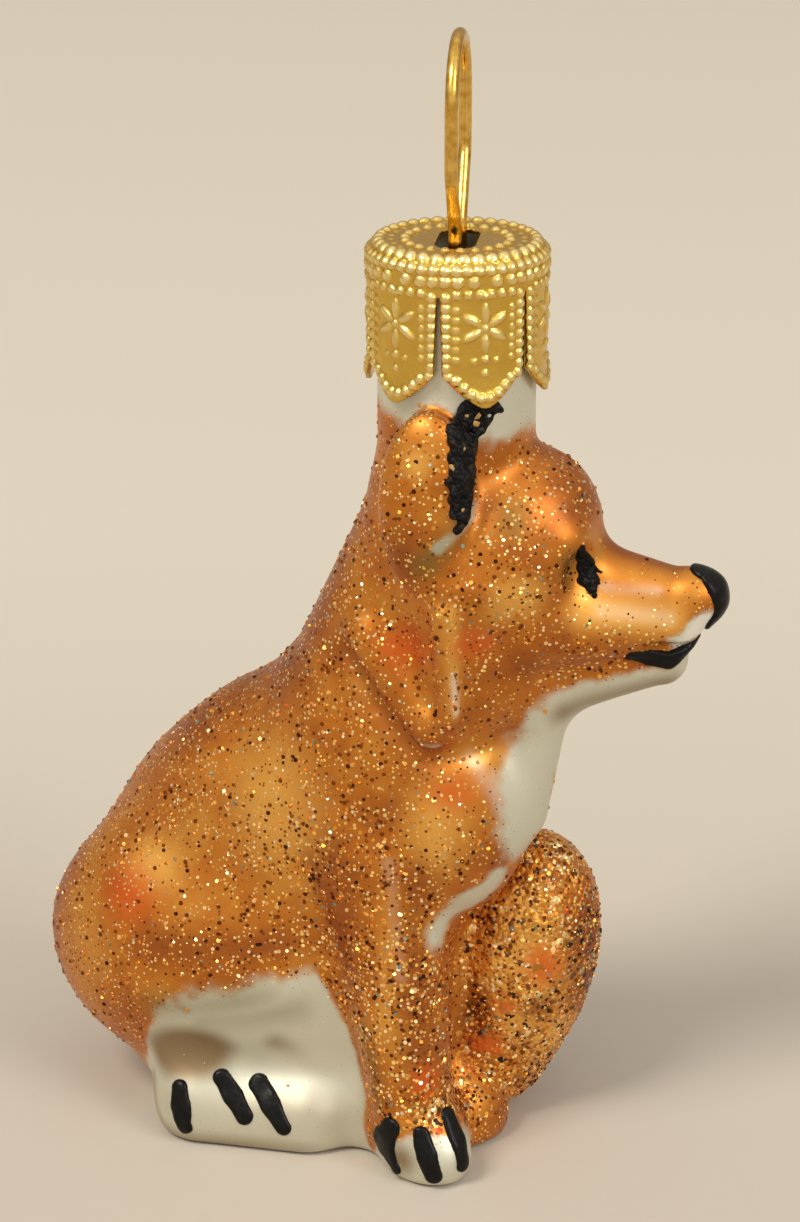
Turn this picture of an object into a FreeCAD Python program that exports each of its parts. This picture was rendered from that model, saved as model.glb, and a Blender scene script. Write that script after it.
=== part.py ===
import FreeCAD, Part
import math
import os

from FreeCAD import Placement, Rotation, Vector

# Blown glass ornament: a sitting fox on its flat underside, with a stamped crown cap on its
# glass neck and a wire hanger loop in the cap.
# The origin is on the ground under the neck's axis. +X is where the body faces, +Y is the
# animal's left and +Z is up. All sizes are millimetres and all angles are degrees.

# Driving sizes of the glass
sitting_height = 50.0
neck_length = 10.2
neck_radius = 4.8
glass_wall = 0.8
bore_depth = 10.0
head_turn = 20.0

# Driving sizes of the cap
cap_sheet = 0.3
cap_clearance = 0.3
cap_height = 9.0
cap_shoulder = 0.8
petal_count = 6
petal_flare = 0.2
petal_point = 2.0
petal_curve_shares = (0.6, 0.42)
slit_width = 0.3
slit_top_share = 0.33
first_petal_angle = 18.0
slot_length = 5.2
slot_width = 2.4
rib_width = 0.7
rib_rise = 0.25
bead_radius = 0.3
bead_rise = 0.22
bead_pitch = 0.85
bead_sides = 6
bead_inset_share = 0.5

# Driving sizes of the hanger wire
wire_radius = 0.4
loop_height = 12.5
loop_width = 8.5
loop_angle = 114.0
loop_foot = 4.6
leg_spacing = 3.0
leg_drop = 3.6
leg_spread_drop = 6.6
leg_length = 7.5
leg_clearance = 0.1
wire_bend = 1.6

# Driving sizes of the raised paint
paint_rise = 0.3
claw_paint_width = 1.05
eye_paint_width = 1.5
ear_paint_width = 1.7
nose_paint_lap = 0.35
mouth_paint_width = 0.75
foot_gap = 0.2

# Sizes of the work itself
cut_overrun = 1.0
skin_tolerance = 0.002
flat_tolerance = 0.0000001
probe_step = 0.01
trunk_ring_points = 32
head_ring_points = 24
head_ring_count = 16
limb_ring_points = 16
egg_ring_points = 12
egg_ring_count = 7
cap_sides = 36
shoulder_steps = 4
wire_sides = 10
stroke_sides = 6
stroke_end_share = 0.5
march_steps = 80
march_share = 0.8
settle_steps = 6

# Masses of the trunk, as shares of the sitting height.
# A bulge is an egg: blend reach, centre, half sizes, then its turn and its nose-up tilt.
# A limb is a tapered rod with round ends: blend reach, start, end, start radius, end radius.
trunk_mass_shares = {
    "nape": ("limb", 0.08, (-0.008, 0.0, 0.87), (-0.10, 0.0, 0.62), 0.10, 0.128),
    "chest": ("bulge", 0.08, (-0.048, 0.0, 0.49), (0.152, 0.124, 0.18), 0.0, 0.0),
    "shoulders": ("bulge", 0.08, (-0.21, 0.0, 0.45), (0.18, 0.14, 0.17), 0.0, 0.0),
    "back": ("bulge", 0.08, (-0.31, 0.0, 0.34), (0.19, 0.152, 0.18), 0.0, -20.0),
    "rump": ("bulge", 0.08, (-0.40, 0.0, 0.21), (0.172, 0.16, 0.164), 0.0, 0.0),
    "right haunch": ("bulge", 0.06, (-0.352, -0.096, 0.216), (0.198, 0.104, 0.172), 0.0, 0.0),
    "left haunch": ("bulge", 0.06, (-0.352, 0.096, 0.216), (0.198, 0.104, 0.172), 0.0, 0.0),
    "belly": ("bulge", 0.08, (-0.17, 0.0, 0.22), (0.16, 0.11, 0.26), 0.0, 0.0),
    "seat": ("bulge", 0.06, (-0.27, 0.0, 0.05), (0.19, 0.15, 0.08), 0.0, 0.0),
    "fore seat": ("bulge", 0.05, (-0.08, 0.0, 0.03), (0.13, 0.10, 0.08), 0.0, 0.0),
}

# Masses of the four limbs. The left ones stand a little further in and back.
right_foreleg_shares = {
    "leg": ("limb", 0.0, (-0.08, -0.052, 0.42), (-0.01, -0.084, 0.08), 0.076, 0.052),
    "paw": ("bulge", 0.03, (0.01, -0.088, 0.03), (0.07, 0.053, 0.06), -20.0, 0.0),
}
left_foreleg_shares = {
    "leg": ("limb", 0.0, (-0.08, 0.052, 0.42), (-0.03, 0.06, 0.08), 0.076, 0.052),
    "paw": ("bulge", 0.03, (0.0, 0.03, 0.03), (0.06, 0.053, 0.06), 0.0, 0.0),
}
right_hind_foot_shares = {
    "foot": ("limb", 0.0, (-0.31, -0.144, 0.036), (-0.14, -0.092, 0.036), 0.06, 0.056),
}
left_hind_foot_shares = {
    "foot": ("limb", 0.0, (-0.31, 0.144, 0.036), (-0.14, 0.092, 0.036), 0.06, 0.056),
}

# Masses of the head, in the head's own frame: its first axis is where the head looks.
head_mass_shares = {
    "skull": ("bulge", 0.06, (0.038, 0.0, 0.828), (0.144, 0.126, 0.132), 0.0, 0.0),
    "forehead": ("bulge", 0.04, (0.106, 0.0, 0.884), (0.066, 0.072, 0.06), 0.0, 0.0),
    "muzzle": ("limb", 0.04, (0.12, 0.0, 0.752), (0.256, 0.0, 0.752), 0.10, 0.06),
    "nose": ("bulge", 0.016, (0.30, 0.0, 0.778), (0.036, 0.034, 0.036), 0.0, 0.0),
    "jaw": ("limb", 0.03, (0.06, 0.0, 0.692), (0.256, 0.0, 0.698), 0.078, 0.032),
    "right cheek": ("limb", 0.04, (0.012, -0.072, 0.74), (-0.008, -0.088, 0.628), 0.098, 0.032),
    "left cheek": ("limb", 0.04, (0.012, 0.072, 0.74), (-0.008, 0.088, 0.628), 0.098, 0.032),
}

# Masses of the tail, which comes round the animal's left side and ends in a tall brush.
brush_mass_shares = {
    "brush": ("bulge", 0.04, (0.026, 0.124, 0.22), (0.104, 0.10, 0.184), 0.0, -14.0),
    "brush foot": ("bulge", 0.04, (-0.02, 0.104, 0.09), (0.088, 0.088, 0.092), 0.0, 0.0),
}
tail_root_shares = {
    "root": ("limb", 0.04, (-0.34, 0.14, 0.11), (-0.13, 0.19, 0.13), 0.08, 0.092),
    "bend": ("limb", 0.04, (-0.13, 0.19, 0.13), (-0.01, 0.15, 0.16), 0.092, 0.09),
}

# One ear in the head's frame on the right side, and the hollow in front of its rim.
# Each is an egg: its centre and its half sizes.
ear_lobe_shares = ((-0.012, -0.108, 0.91), (0.062, 0.03, 0.112))
ear_hollow_shares = ((0.044, -0.146, 0.90), (0.026, 0.022, 0.094))

# Levels of the trunk's rings and the line through their centres: height, then place along X and Y.
trunk_level_shares = (
    0.0, 0.03, 0.06, 0.09, 0.12, 0.15, 0.18, 0.21, 0.24, 0.28, 0.32, 0.36, 0.40, 0.44, 0.48,
    0.52, 0.56, 0.60, 0.64, 0.68, 0.72, 0.76, 0.80, 0.84, 0.88, 0.92, 0.96, 1.0,
)
trunk_line_shares = (
    (0.0, -0.19, 0.0), (0.10, -0.22, 0.0), (0.30, -0.24, 0.0), (0.50, -0.15, 0.0),
    (0.68, -0.07, 0.0), (0.85, 0.0, 0.0),
)

# The same for the limbs.
foreleg_level_shares = (0.0, 0.02, 0.04, 0.06, 0.08, 0.10, 0.13, 0.18, 0.24, 0.30, 0.36, 0.42, 0.46, 0.485)
right_foreleg_line_shares = ((0.0, 0.01, -0.088), (0.08, -0.004, -0.086), (0.42, -0.08, -0.052))
left_foreleg_line_shares = ((0.0, 0.0, 0.034), (0.08, -0.024, 0.052), (0.42, -0.08, 0.052))
hind_foot_level_shares = (0.0, 0.025, 0.05, 0.07, 0.085)
right_hind_foot_line_shares = ((0.0, -0.225, -0.118), (0.09, -0.225, -0.118))
left_hind_foot_line_shares = ((0.0, -0.225, 0.118), (0.09, -0.225, 0.118))
limb_tables = (
    (right_foreleg_shares, foreleg_level_shares, right_foreleg_line_shares),
    (left_foreleg_shares, foreleg_level_shares, left_foreleg_line_shares),
    (right_hind_foot_shares, hind_foot_level_shares, right_hind_foot_line_shares),
    (left_hind_foot_shares, hind_foot_level_shares, left_hind_foot_line_shares),
)

# Line through the head, from its back to the nose: place along the head, height.
head_line_shares = ((-0.10, 0.82), (0.10, 0.80), (0.336, 0.778))

# Line through the brush and levels of its rings: height, then places along X and Y.
brush_line_shares = ((0.0, -0.02, 0.108), (0.22, 0.026, 0.124), (0.42, 0.07, 0.124))
brush_level_shares = (0.0, 0.03, 0.06, 0.10, 0.14, 0.18, 0.22, 0.26, 0.30, 0.33, 0.36, 0.38, 0.392)

# Line through the root of the tail and places of its rings: place along X, then along Y and up.
tail_root_line_shares = ((-0.34, 0.14, 0.11), (-0.13, 0.19, 0.13), (-0.01, 0.15, 0.16))
tail_root_place_shares = (-0.38, -0.34, -0.29, -0.24, -0.19, -0.14, -0.09, -0.04, 0.0)

# Painted claw strokes: both ends of each stroke, near the skin.
hind_claw_shares = (
    ((-0.304, -0.191, 0.078), (-0.289, -0.188, 0.022)),
    ((-0.255, -0.172, 0.097), (-0.218, -0.176, 0.042)),
    ((-0.205, -0.156, 0.097), (-0.168, -0.158, 0.040)),
)
forepaw_claw_shares = (
    ((-0.034, -0.136, 0.066), (-0.018, -0.140, 0.016)),
    ((0.035, -0.132, 0.074), (0.048, -0.130, 0.018)),
    ((0.062, -0.093, 0.078), (0.076, -0.098, 0.026)),
)
eye_shares = ((0.170, -0.060, 0.838), (0.178, -0.060, 0.812))
ear_paint_shares = ((0.030, -0.118, 1.006), (0.034, -0.132, 0.955), (0.030, -0.136, 0.90))
mouth_shares = (
    (0.228, -0.052, 0.708), (0.262, -0.046, 0.705), (0.288, -0.028, 0.708), (0.296, 0.0, 0.712),
)


# Masses: each gives the distance from a place to the mass, below zero inside it

def bulge(centre, half_sizes, turn, tilt):
    """An egg-shaped mass."""
    turn = math.radians(turn)
    tilt = math.radians(tilt)
    forward = (math.cos(turn) * math.cos(tilt), math.sin(turn) * math.cos(tilt), math.sin(tilt))
    side = (-math.sin(turn), math.cos(turn), 0.0)
    above = (-math.cos(turn) * math.sin(tilt), -math.sin(turn) * math.sin(tilt), math.cos(tilt))
    axes = (forward, side, above)

    def distance(x, y, z):
        x -= centre[0]
        y -= centre[1]
        z -= centre[2]
        near = 0.0
        steep = 0.0
        for axis, half in zip(axes, half_sizes):
            share = (x * axis[0] + y * axis[1] + z * axis[2]) / half
            near += share * share
            steep += (share / half) * (share / half)
        if steep == 0.0:
            return -min(half_sizes)
        near = math.sqrt(near)
        return near * (near - 1) / math.sqrt(steep)

    return distance


def limb(start, end, start_radius, end_radius):
    """A tapered rod with round ends."""
    along = [b - a for a, b in zip(start, end)]
    length = math.sqrt(sum(part * part for part in along))
    axis = [part / length for part in along]
    lean = (start_radius - end_radius) / length
    lean = lean / math.sqrt(1 - lean * lean)

    def distance(x, y, z):
        x -= start[0]
        y -= start[1]
        z -= start[2]
        far = x * axis[0] + y * axis[1] + z * axis[2]
        off = math.sqrt(max(x * x + y * y + z * z - far * far, 0.0))
        share = min(max((far + off * lean) / length, 0.0), 1)
        far -= share * length
        return math.sqrt(off * off + far * far) - start_radius - share * (end_radius - start_radius)

    return distance


def sized(shares):
    """A place or a set of half sizes, from shares of the sitting height."""
    return tuple(share * sitting_height for share in shares)


def turned_with_head(place):
    """A place in the head's frame, turned about the neck's axis into the body's frame."""
    angle = math.radians(head_turn)
    x = place[0] * math.cos(angle) - place[1] * math.sin(angle)
    y = place[0] * math.sin(angle) + place[1] * math.cos(angle)
    return (x, y, place[2])


def masses_of(table, in_head=False):
    """The masses of a table, with their blend reaches, joined in the table's order."""
    masses = []
    for kind, reach, first, second, third, fourth in table.values():
        place = sized(first)
        if in_head:
            place = turned_with_head(place)
        if kind == "bulge":
            turn = third + head_turn if in_head else third
            mass = bulge(place, sized(second), turn, fourth)
        else:
            end = sized(second)
            if in_head:
                end = turned_with_head(end)
            mass = limb(place, end, third * sitting_height, fourth * sitting_height)
        masses.append((mass, reach * sitting_height))
    return masses


def blended(masses):
    """One distance for many masses, smoothed where they meet."""
    first = masses[0][0]
    others = masses[1:]

    def distance(x, y, z):
        least = first(x, y, z)
        for mass, reach in others:
            other = mass(x, y, z)
            overlap = max(reach - abs(least - other), 0.0)
            least = min(least, other) - overlap * overlap / reach / 4
        return least

    return distance


# Skins: rings found on the blended masses, and solids laid through them

def on_skin(distance, centre, direction, start):
    """The outermost place of the skin on a ray from a centre, found by marching inwards."""
    reach = start
    for _ in range(march_steps):
        place = centre + direction * reach
        gap = distance(place.x, place.y, place.z)
        if abs(gap) < skin_tolerance:
            break
        reach -= gap * march_share
    return centre + direction * max(reach, skin_tolerance)


def rising(distance, place):
    """The direction in which the skin faces near a place."""
    steps = (Vector(probe_step, 0, 0), Vector(0, probe_step, 0), Vector(0, 0, probe_step))
    slopes = [distance(*(place + step)) - distance(*(place - step)) for step in steps]
    return Vector(*slopes).normalize()


def settled(distance, place):
    """The place on the skin that is nearest to a place beside it."""
    for _ in range(settle_steps):
        place = place - rising(distance, place) * distance(*place)
    return place


def ring(distance, centre, across, above, count):
    """A ring of places on the skin, in the plane of two directions through a centre."""
    points = []
    for index in range(count):
        angle = 2 * math.pi * index / count
        direction = across * math.cos(angle) + above * math.sin(angle)
        points.append(on_skin(distance, centre, direction, sitting_height))
    return points


def polygon(centre, across, above, count):
    """The corners of a regular polygon, from a centre and two half axes."""
    angles = [2 * math.pi * index / count for index in range(count)]
    return [centre + across * math.cos(angle) + above * math.sin(angle) for angle in angles]


def closed(points):
    return Part.makePolygon(points + points[:1])


def flat_faces(corners):
    """One flat face through the corners, or two where four corners don't lie in one plane."""
    corners = [here for here, after in zip(corners, corners[1:] + corners[:1]) if here != after]
    if len(corners) == 4:
        first, second, third, fourth = corners
        square = (third - first).cross(fourth - second).normalize()
        if abs(square.dot(second - first)) > flat_tolerance:
            if (third - first).Length < (fourth - second).Length:
                halves = [[first, second, third], [first, third, fourth]]
            else:
                halves = [[second, third, fourth], [second, fourth, first]]
            return [Part.Face(closed(half)) for half in halves]
    return [Part.Face(closed(corners))]


def skin(rings):
    """A solid of flat facets through rings with as many points. A ring of one point is a tip."""
    faces = [Part.Face(closed(end)) for end in (rings[0], rings[-1]) if len(end) > 1]
    for low, high in zip(rings, rings[1:]):
        for index in range(max(len(low), len(high))):
            after = index + 1
            corners = [low[index % len(low)], low[after % len(low)]]
            corners += [high[after % len(high)], high[index % len(high)]]
            faces += flat_faces(corners)
    solid = Part.Solid(Part.Shell(faces))
    if solid.Volume < 0:
        solid.reverse()
    return solid


def between(table, place):
    """The values of a table of (place, value, ...) rows at a place, joined by straight lines."""
    for low, high in zip(table, table[1:]):
        if place <= high[0] or high is table[-1]:
            share = min(max((place - low[0]) / (high[0] - low[0]), 0.0), 1)
            return [a + (b - a) * share for a, b in zip(low[1:], high[1:])]


def level_rings(distance, levels, line, count):
    """Level rings about a line, whose table gives the places along X and Y at each height."""
    rings = []
    for level in levels:
        centre = Vector(*between(line, level), level) * sitting_height
        rings.append(ring(distance, centre, Vector(1, 0, 0), Vector(0, 1, 0), count))
    return rings


# The glass

def trunk_masses():
    """The trunk's masses and the straight neck that stands on the nape."""
    foot = (0.0, 0.0, sitting_height - neck_length)
    rim = (0.0, 0.0, sitting_height + 2 * neck_length)
    neck = limb(foot, rim, neck_radius, neck_radius)
    return masses_of(trunk_mass_shares) + [(neck, neck_radius / 3)]


def trunk_form():
    """Trunk and nape in one skin, from the flat underside up to the straight neck."""
    distance = blended(trunk_masses())
    return skin(level_rings(distance, trunk_level_shares, trunk_line_shares, trunk_ring_points))


def neck_form():
    """The straight neck, with a rounded rim."""
    neck = Part.makeCylinder(neck_radius, neck_length, Vector(0, 0, sitting_height))
    rim = [edge for edge in neck.Edges if edge.BoundBox.ZMin > sitting_height + neck_length - skin_tolerance]
    return neck.makeFillet(glass_wall / 2, rim[:1])


def domed(distance, levels, line):
    """An upright limb on the ground, with a rounded top."""
    rings = level_rings(distance, levels, line, limb_ring_points)
    middle = Vector(*between(line, levels[-1]), 0) * sitting_height
    tip = on_skin(distance, middle, Vector(0, 0, 1), sitting_height)
    return skin(rings + [[tip]])


def head_form():
    """Skull, cheeks and muzzle in one skin, by rings across the line of sight."""
    distance = blended(masses_of(head_mass_shares, in_head=True))
    ahead = Vector(*turned_with_head((1, 0, 0)))
    side = Vector(*turned_with_head((0, 1, 0)))
    above = Vector(0, 0, 1)
    back_height, nose_height = [above * (row[1] * sitting_height) for row in head_line_shares[::2]]
    back_tip = on_skin(distance, back_height, ahead * -1, sitting_height)
    nose_tip = on_skin(distance, nose_height, ahead, sitting_height)
    back = ahead.dot(back_tip)
    front = ahead.dot(nose_tip)
    rings = []
    for step in range(1, head_ring_count):
        place = back + (front - back) * (1 - math.cos(math.pi * step / head_ring_count)) / 2
        height = between(head_line_shares, place / sitting_height)[0] * sitting_height
        rings.append(ring(distance, ahead * place + above * height, side, above, head_ring_points))
    return skin([[back_tip]] + rings + [[nose_tip]])


def brush_form():
    """The upright brush at the end of the tail, flat on the ground and round on top."""
    return domed(blended(masses_of(brush_mass_shares)), brush_level_shares, brush_line_shares)


def tail_root_form():
    """The part of the tail that lies along the left side, from the rump to the brush."""
    distance = blended(masses_of(tail_root_shares))
    rings = []
    for place in tail_root_place_shares:
        centre = Vector(place, *between(tail_root_line_shares, place)) * sitting_height
        rings.append(ring(distance, centre, Vector(0, 1, 0), Vector(0, 0, 1), limb_ring_points))
    return skin(rings)


def ear_form(side):
    """One ear: an upright lobe with a hollow in front of its rim. Side is -1 on the right."""
    centre, sizes = [sized(shares) for shares in ear_lobe_shares]
    lobe = egg(mirrored(centre, side), sizes)
    centre, sizes = [sized(shares) for shares in ear_hollow_shares]
    return lobe.cut(egg(mirrored(centre, side), sizes))


def ear_distance(side):
    """The distance from a place to an ear's lobe, for the paint on it."""
    centre, sizes = ear_lobe_shares
    return bulge(mirrored(sized(centre), side), sized(sizes), head_turn, 0.0)


def mirrored(place, side):
    """A place in the head's frame, on one side of the head, as a point of the body's frame."""
    return Vector(*turned_with_head((place[0], place[1] * -side, place[2])))


def egg(centre, sizes):
    """A faceted egg in line with the head, from rings at even steps of latitude."""
    ahead = Vector(*turned_with_head((1, 0, 0)))
    side = Vector(*turned_with_head((0, 1, 0)))
    above = Vector(0, 0, 1)
    rings = [[centre - above * sizes[2]]]
    for step in range(1, egg_ring_count):
        latitude = math.pi * step / egg_ring_count
        girth = math.sin(latitude)
        middle = centre - above * (math.cos(latitude) * sizes[2])
        rings.append(polygon(middle, ahead * (sizes[0] * girth), side * (sizes[1] * girth), egg_ring_points))
    return skin(rings + [[centre + above * sizes[2]]])


def bore():
    """The bore down the neck, with a round bottom."""
    radius = neck_radius - glass_wall
    foot = Vector(0, 0, sitting_height - bore_depth)
    straight = Part.makeCylinder(radius, bore_depth + neck_length + cut_overrun, foot)
    return straight.fuse(Part.makeSphere(radius, foot))


def glass_outside():
    """The whole outer form of the glass, still solid."""
    limbs = [neck_form(), head_form(), brush_form(), tail_root_form(), ear_form(-1), ear_form(1)]
    for shares, levels, line in limb_tables:
        limbs.append(domed(blended(masses_of(shares)), levels, line))
    return trunk_form().multiFuse(limbs)


# Raised paint: each stroke is a flattened rod laid along the skin, less the glass under it

def painted(glass, distance, shares, width, to_frame=Vector):
    """A stroke of paint through places near the skin."""
    path = [settled(distance, to_frame(*sized(place))) for place in shares]
    first_half = path[0] + (path[0] - path[1]).normalize() * (width / 2)
    last_half = path[-1] + (path[-1] - path[-2]).normalize() * (width / 2)
    path = [settled(distance, first_half)] + path + [settled(distance, last_half)]
    rings = []
    for index, place in enumerate(path):
        before = path[max(index - 1, 0)]
        after = path[min(index + 1, len(path) - 1)]
        out = rising(distance, place)
        across = out.cross(after - before).normalize()
        at_end = index in (0, len(path) - 1)
        half = width / 2 * (stroke_end_share if at_end else 1)
        rise = paint_rise * (stroke_end_share if at_end else 1)
        rings.append(polygon(place, across * half, out * rise, stroke_sides))
    foot = Vector(-sitting_height, -sitting_height, foot_gap - 2 * sitting_height)
    ground = Part.makeBox(2 * sitting_height, 2 * sitting_height, 2 * sitting_height, foot)
    above_glass = skin(rings).cut([glass, ground]).Solids
    return max(above_glass, key=lambda solid: solid.Volume)


def right_head(x, y, z):
    return Vector(*turned_with_head((x, y, z)))


def left_head(x, y, z):
    return Vector(*turned_with_head((x, -y, z)))


def nose_paint(glass):
    """Paint over the front and top of the nose: the nose's own egg, moved up and ahead."""
    centre, sizes = head_mass_shares["nose"][2:4]
    lap = Vector(*turned_with_head((nose_paint_lap, 0, nose_paint_lap / 2)))
    return egg(Vector(*turned_with_head(sized(centre))) + lap, sized(sizes)).cut(glass)


def mouth_paint(glass, distance):
    """The line of the mouth, round the front of the muzzle from cheek to cheek."""
    other_side = tuple((x, -y, z) for x, y, z in reversed(mouth_shares[:-1]))
    return painted(glass, distance, mouth_shares + other_side, mouth_paint_width, right_head)


# The crown cap

def cup(outside, rounding, top, bend, foot, flare):
    """A solid cup about the neck's axis: a domed shoulder, a straight wall and a flaring foot."""
    profile = [(outside + flare, foot), (outside, bend)]
    for step in range(shoulder_steps + 1):
        angle = math.pi / 2 * step / shoulder_steps
        across = outside - rounding * (1 - math.cos(angle))
        profile.append((across, top - rounding * (1 - math.sin(angle))))
    rings = []
    for radius, height in profile:
        rings.append(polygon(Vector(0, 0, height), Vector(radius, 0, 0), Vector(0, radius, 0), cap_sides))
    return skin(rings)


def cap_blank():
    """The cap before its slits: sheet between two cups."""
    rim = sitting_height + neck_length
    top = rim + cap_sheet
    inside = neck_radius + cap_clearance
    foot = top - cap_height
    bend = foot + petal_point
    outer = cup(inside + cap_sheet, cap_shoulder, top, bend, foot, petal_flare)
    inner = cup(inside, cap_shoulder - cap_sheet, rim, bend, foot, petal_flare)
    return outer.cut(inner)


def about_axis(shape, angle):
    """A copy of a shape turned about the neck's axis."""
    turned = shape.copy()
    turned.Placement = Placement(Vector(0, 0, 0), Rotation(Vector(0, 0, 1), angle)) * shape.Placement
    return turned


def petal_outline():
    """Half of a petal's edge as (distance from the gap's middle, height), from slit to tip."""
    top = sitting_height + neck_length + cap_sheet
    tip = top - cap_height
    half_pitch = (neck_radius + cap_clearance + cap_sheet + petal_flare) * math.sin(math.pi / petal_count)
    side = tip + petal_point
    shoulder = (half_pitch * petal_curve_shares[0], tip + petal_point * petal_curve_shares[1])
    return [(slit_width / 2, side), shoulder, (half_pitch, tip)]


def petal_gap():
    """The slit between two petals and the notch that gives both their pointed tips."""
    top = sitting_height + neck_length + cap_sheet
    edge = [(slit_width / 2, top - cap_height * slit_top_share)] + petal_outline()
    edge.append((edge[-1][0], top - cap_height - cut_overrun))
    near = (neck_radius + cap_clearance) * math.cos(math.pi / petal_count) - cut_overrun
    far = neck_radius + cap_clearance + cap_sheet + petal_flare + cut_overrun
    right_side = [Vector(near, across, height) for across, height in edge]
    left_side = [Vector(near, -across, height) for across, height in reversed(edge)]
    return Part.Face(closed(right_side + left_side)).extrude(Vector(far - near, 0, 0))


def hanger_slot():
    """The slot in the top of the cap, with round ends, along the loop's direction."""
    rim = sitting_height + neck_length
    height = cap_sheet + rib_rise + 2 * cut_overrun
    straight = slot_length - slot_width
    foot = Vector(-straight / 2, -slot_width / 2, rim - cut_overrun)
    slot = Part.makeBox(straight, slot_width, height, foot)
    middles = [Vector(x, 0, foot.z) for x in (-straight / 2, straight / 2)]
    ends = [Part.makeCylinder(slot_width / 2, height, middle) for middle in middles]
    return about_axis(slot.multiFuse(ends), loop_angle)


def disc(radius, top_radius, foot, height):
    """A flat round of the cap's facets, tapered from its foot to its top."""
    rings = []
    for reach, level in ((radius, foot), (top_radius, foot + height)):
        rings.append(polygon(Vector(0, 0, level), Vector(reach, 0, 0), Vector(0, reach, 0), cap_sides))
    return skin(rings)


def top_rib():
    """The raised ring round the slot, rooted in the cap's sheet."""
    root = sitting_height + neck_length + cap_sheet / 2
    inner = slot_length / 2 + rib_rise
    outer = inner + rib_width
    height = cap_sheet / 2 + rib_rise
    return disc(outer, outer - rib_rise, root, height).cut(disc(inner, inner, root - cap_sheet, 2 * height))


def spaced(line, pitch):
    """Places at an even pitch along a line of corners."""
    lengths = [math.dist(a, b) for a, b in zip(line, line[1:])]
    count = max(round(sum(lengths) / pitch), 1)
    places = []
    for index in range(count):
        left = sum(lengths) * (index + 1 / 2) / count
        for length, a, b in zip(lengths, line, line[1:]):
            if left <= length:
                places.append(tuple(p + (q - p) * left / length for p, q in zip(a, b)))
                break
            left -= length
    return places


def bead(angle, height):
    """A small pointed bead on the outside of the cap."""
    outside = neck_radius + cap_clearance + cap_sheet
    bend = sitting_height + neck_length + cap_sheet - cap_height + petal_point
    radius = outside + petal_flare * max(bend - height, 0.0) / petal_point
    root = Vector(radius - cap_sheet / 2, 0, height)
    base = polygon(root, Vector(0, bead_radius, 0), Vector(0, 0, bead_radius), bead_sides)
    return about_axis(skin([base, [Vector(radius + bead_rise, 0, height)]]), angle)


def petal_beads(centre_angle):
    """The row of beads just inside the edge of one petal, down one side and up the other."""
    outside = neck_radius + cap_clearance + cap_sheet
    top = sitting_height + neck_length + cap_sheet
    outline = [(slit_width / 2, top - cap_shoulder)] + petal_outline()
    half_pitch = outline[-1][0]
    inset = bead_inset_share * bead_pitch
    line = [(half_pitch - across - inset, height) for across, height in outline[:-1]]
    line.append((0, outline[-1][1] + 2 * inset))
    beads = []
    for across, height in spaced(line, bead_pitch):
        turn = math.degrees(across / outside)
        beads.append(bead(centre_angle + turn, height))
        beads.append(bead(centre_angle - turn, height))
    return beads


def ornament_cap():
    """The stamped crown cap."""
    cap = cap_blank().fuse(top_rib())
    angles = [first_petal_angle + 360 / petal_count * index for index in range(petal_count)]
    gaps = [about_axis(petal_gap(), angle + 180 / petal_count) for angle in angles]
    cap = cap.cut(gaps + [hanger_slot()])
    beads = []
    for angle in angles:
        beads += petal_beads(angle)
    return cap.multiFuse(beads)


# The hanger

def hanger_corners():
    """Corners of the right half of the hanger's middle line, from the leg's foot to the loop's top."""
    top = sitting_height + neck_length + cap_sheet
    bore_reach = neck_radius - glass_wall - leg_clearance - wire_radius
    loop_reach = loop_width / 2 - wire_radius
    spread = top - leg_drop - leg_spread_drop
    return [
        (bore_reach, spread - leg_length, 0.0),
        (bore_reach, spread, wire_bend),
        (leg_spacing / 2, top - leg_drop, wire_bend),
        (leg_spacing / 2, top + 2 * wire_radius, wire_bend),
        (loop_reach, top + loop_foot, wire_bend),
        (loop_reach, top + loop_height - wire_radius, loop_reach),
    ]


def bent(corners):
    """A wire of straight runs and round bends through corners, each with its own radius."""
    edges = []
    start = corners[0][0]
    for (before, _), (corner, radius), (after, _) in zip(corners, corners[1:], corners[2:]):
        back = (before - corner).normalize()
        ahead = (after - corner).normalize()
        half_angle = math.acos(max(min(back.dot(ahead), 1), -1)) / 2
        reach = radius / math.tan(half_angle)
        middle = corner + (back + ahead).normalize() * (radius / math.sin(half_angle) - radius)
        bend_start = corner + back * reach
        bend_end = corner + ahead * reach
        if (bend_start - start).Length > skin_tolerance:
            edges.append(Part.makeLine(start, bend_start))
        edges.append(Part.Arc(bend_start, middle, bend_end).toShape())
        start = bend_end
    edges.append(Part.makeLine(start, corners[-1][0]))
    return Part.Wire(edges)


def hanger_wire():
    """Round wire: two spread legs, a narrow pass through the slot and a wide loop."""
    half = hanger_corners()
    corners = [(Vector(x, 0, z), radius) for x, z, radius in half]
    corners += [(Vector(-x, 0, z), radius) for x, z, radius in reversed(half)]
    path = bent(corners)
    foot = corners[0][0]
    section = closed(polygon(foot, Vector(wire_radius, 0, 0), Vector(0, wire_radius, 0), wire_sides))
    return about_axis(path.makePipeShell([section], True, False), loop_angle)


# The pieces

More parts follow.
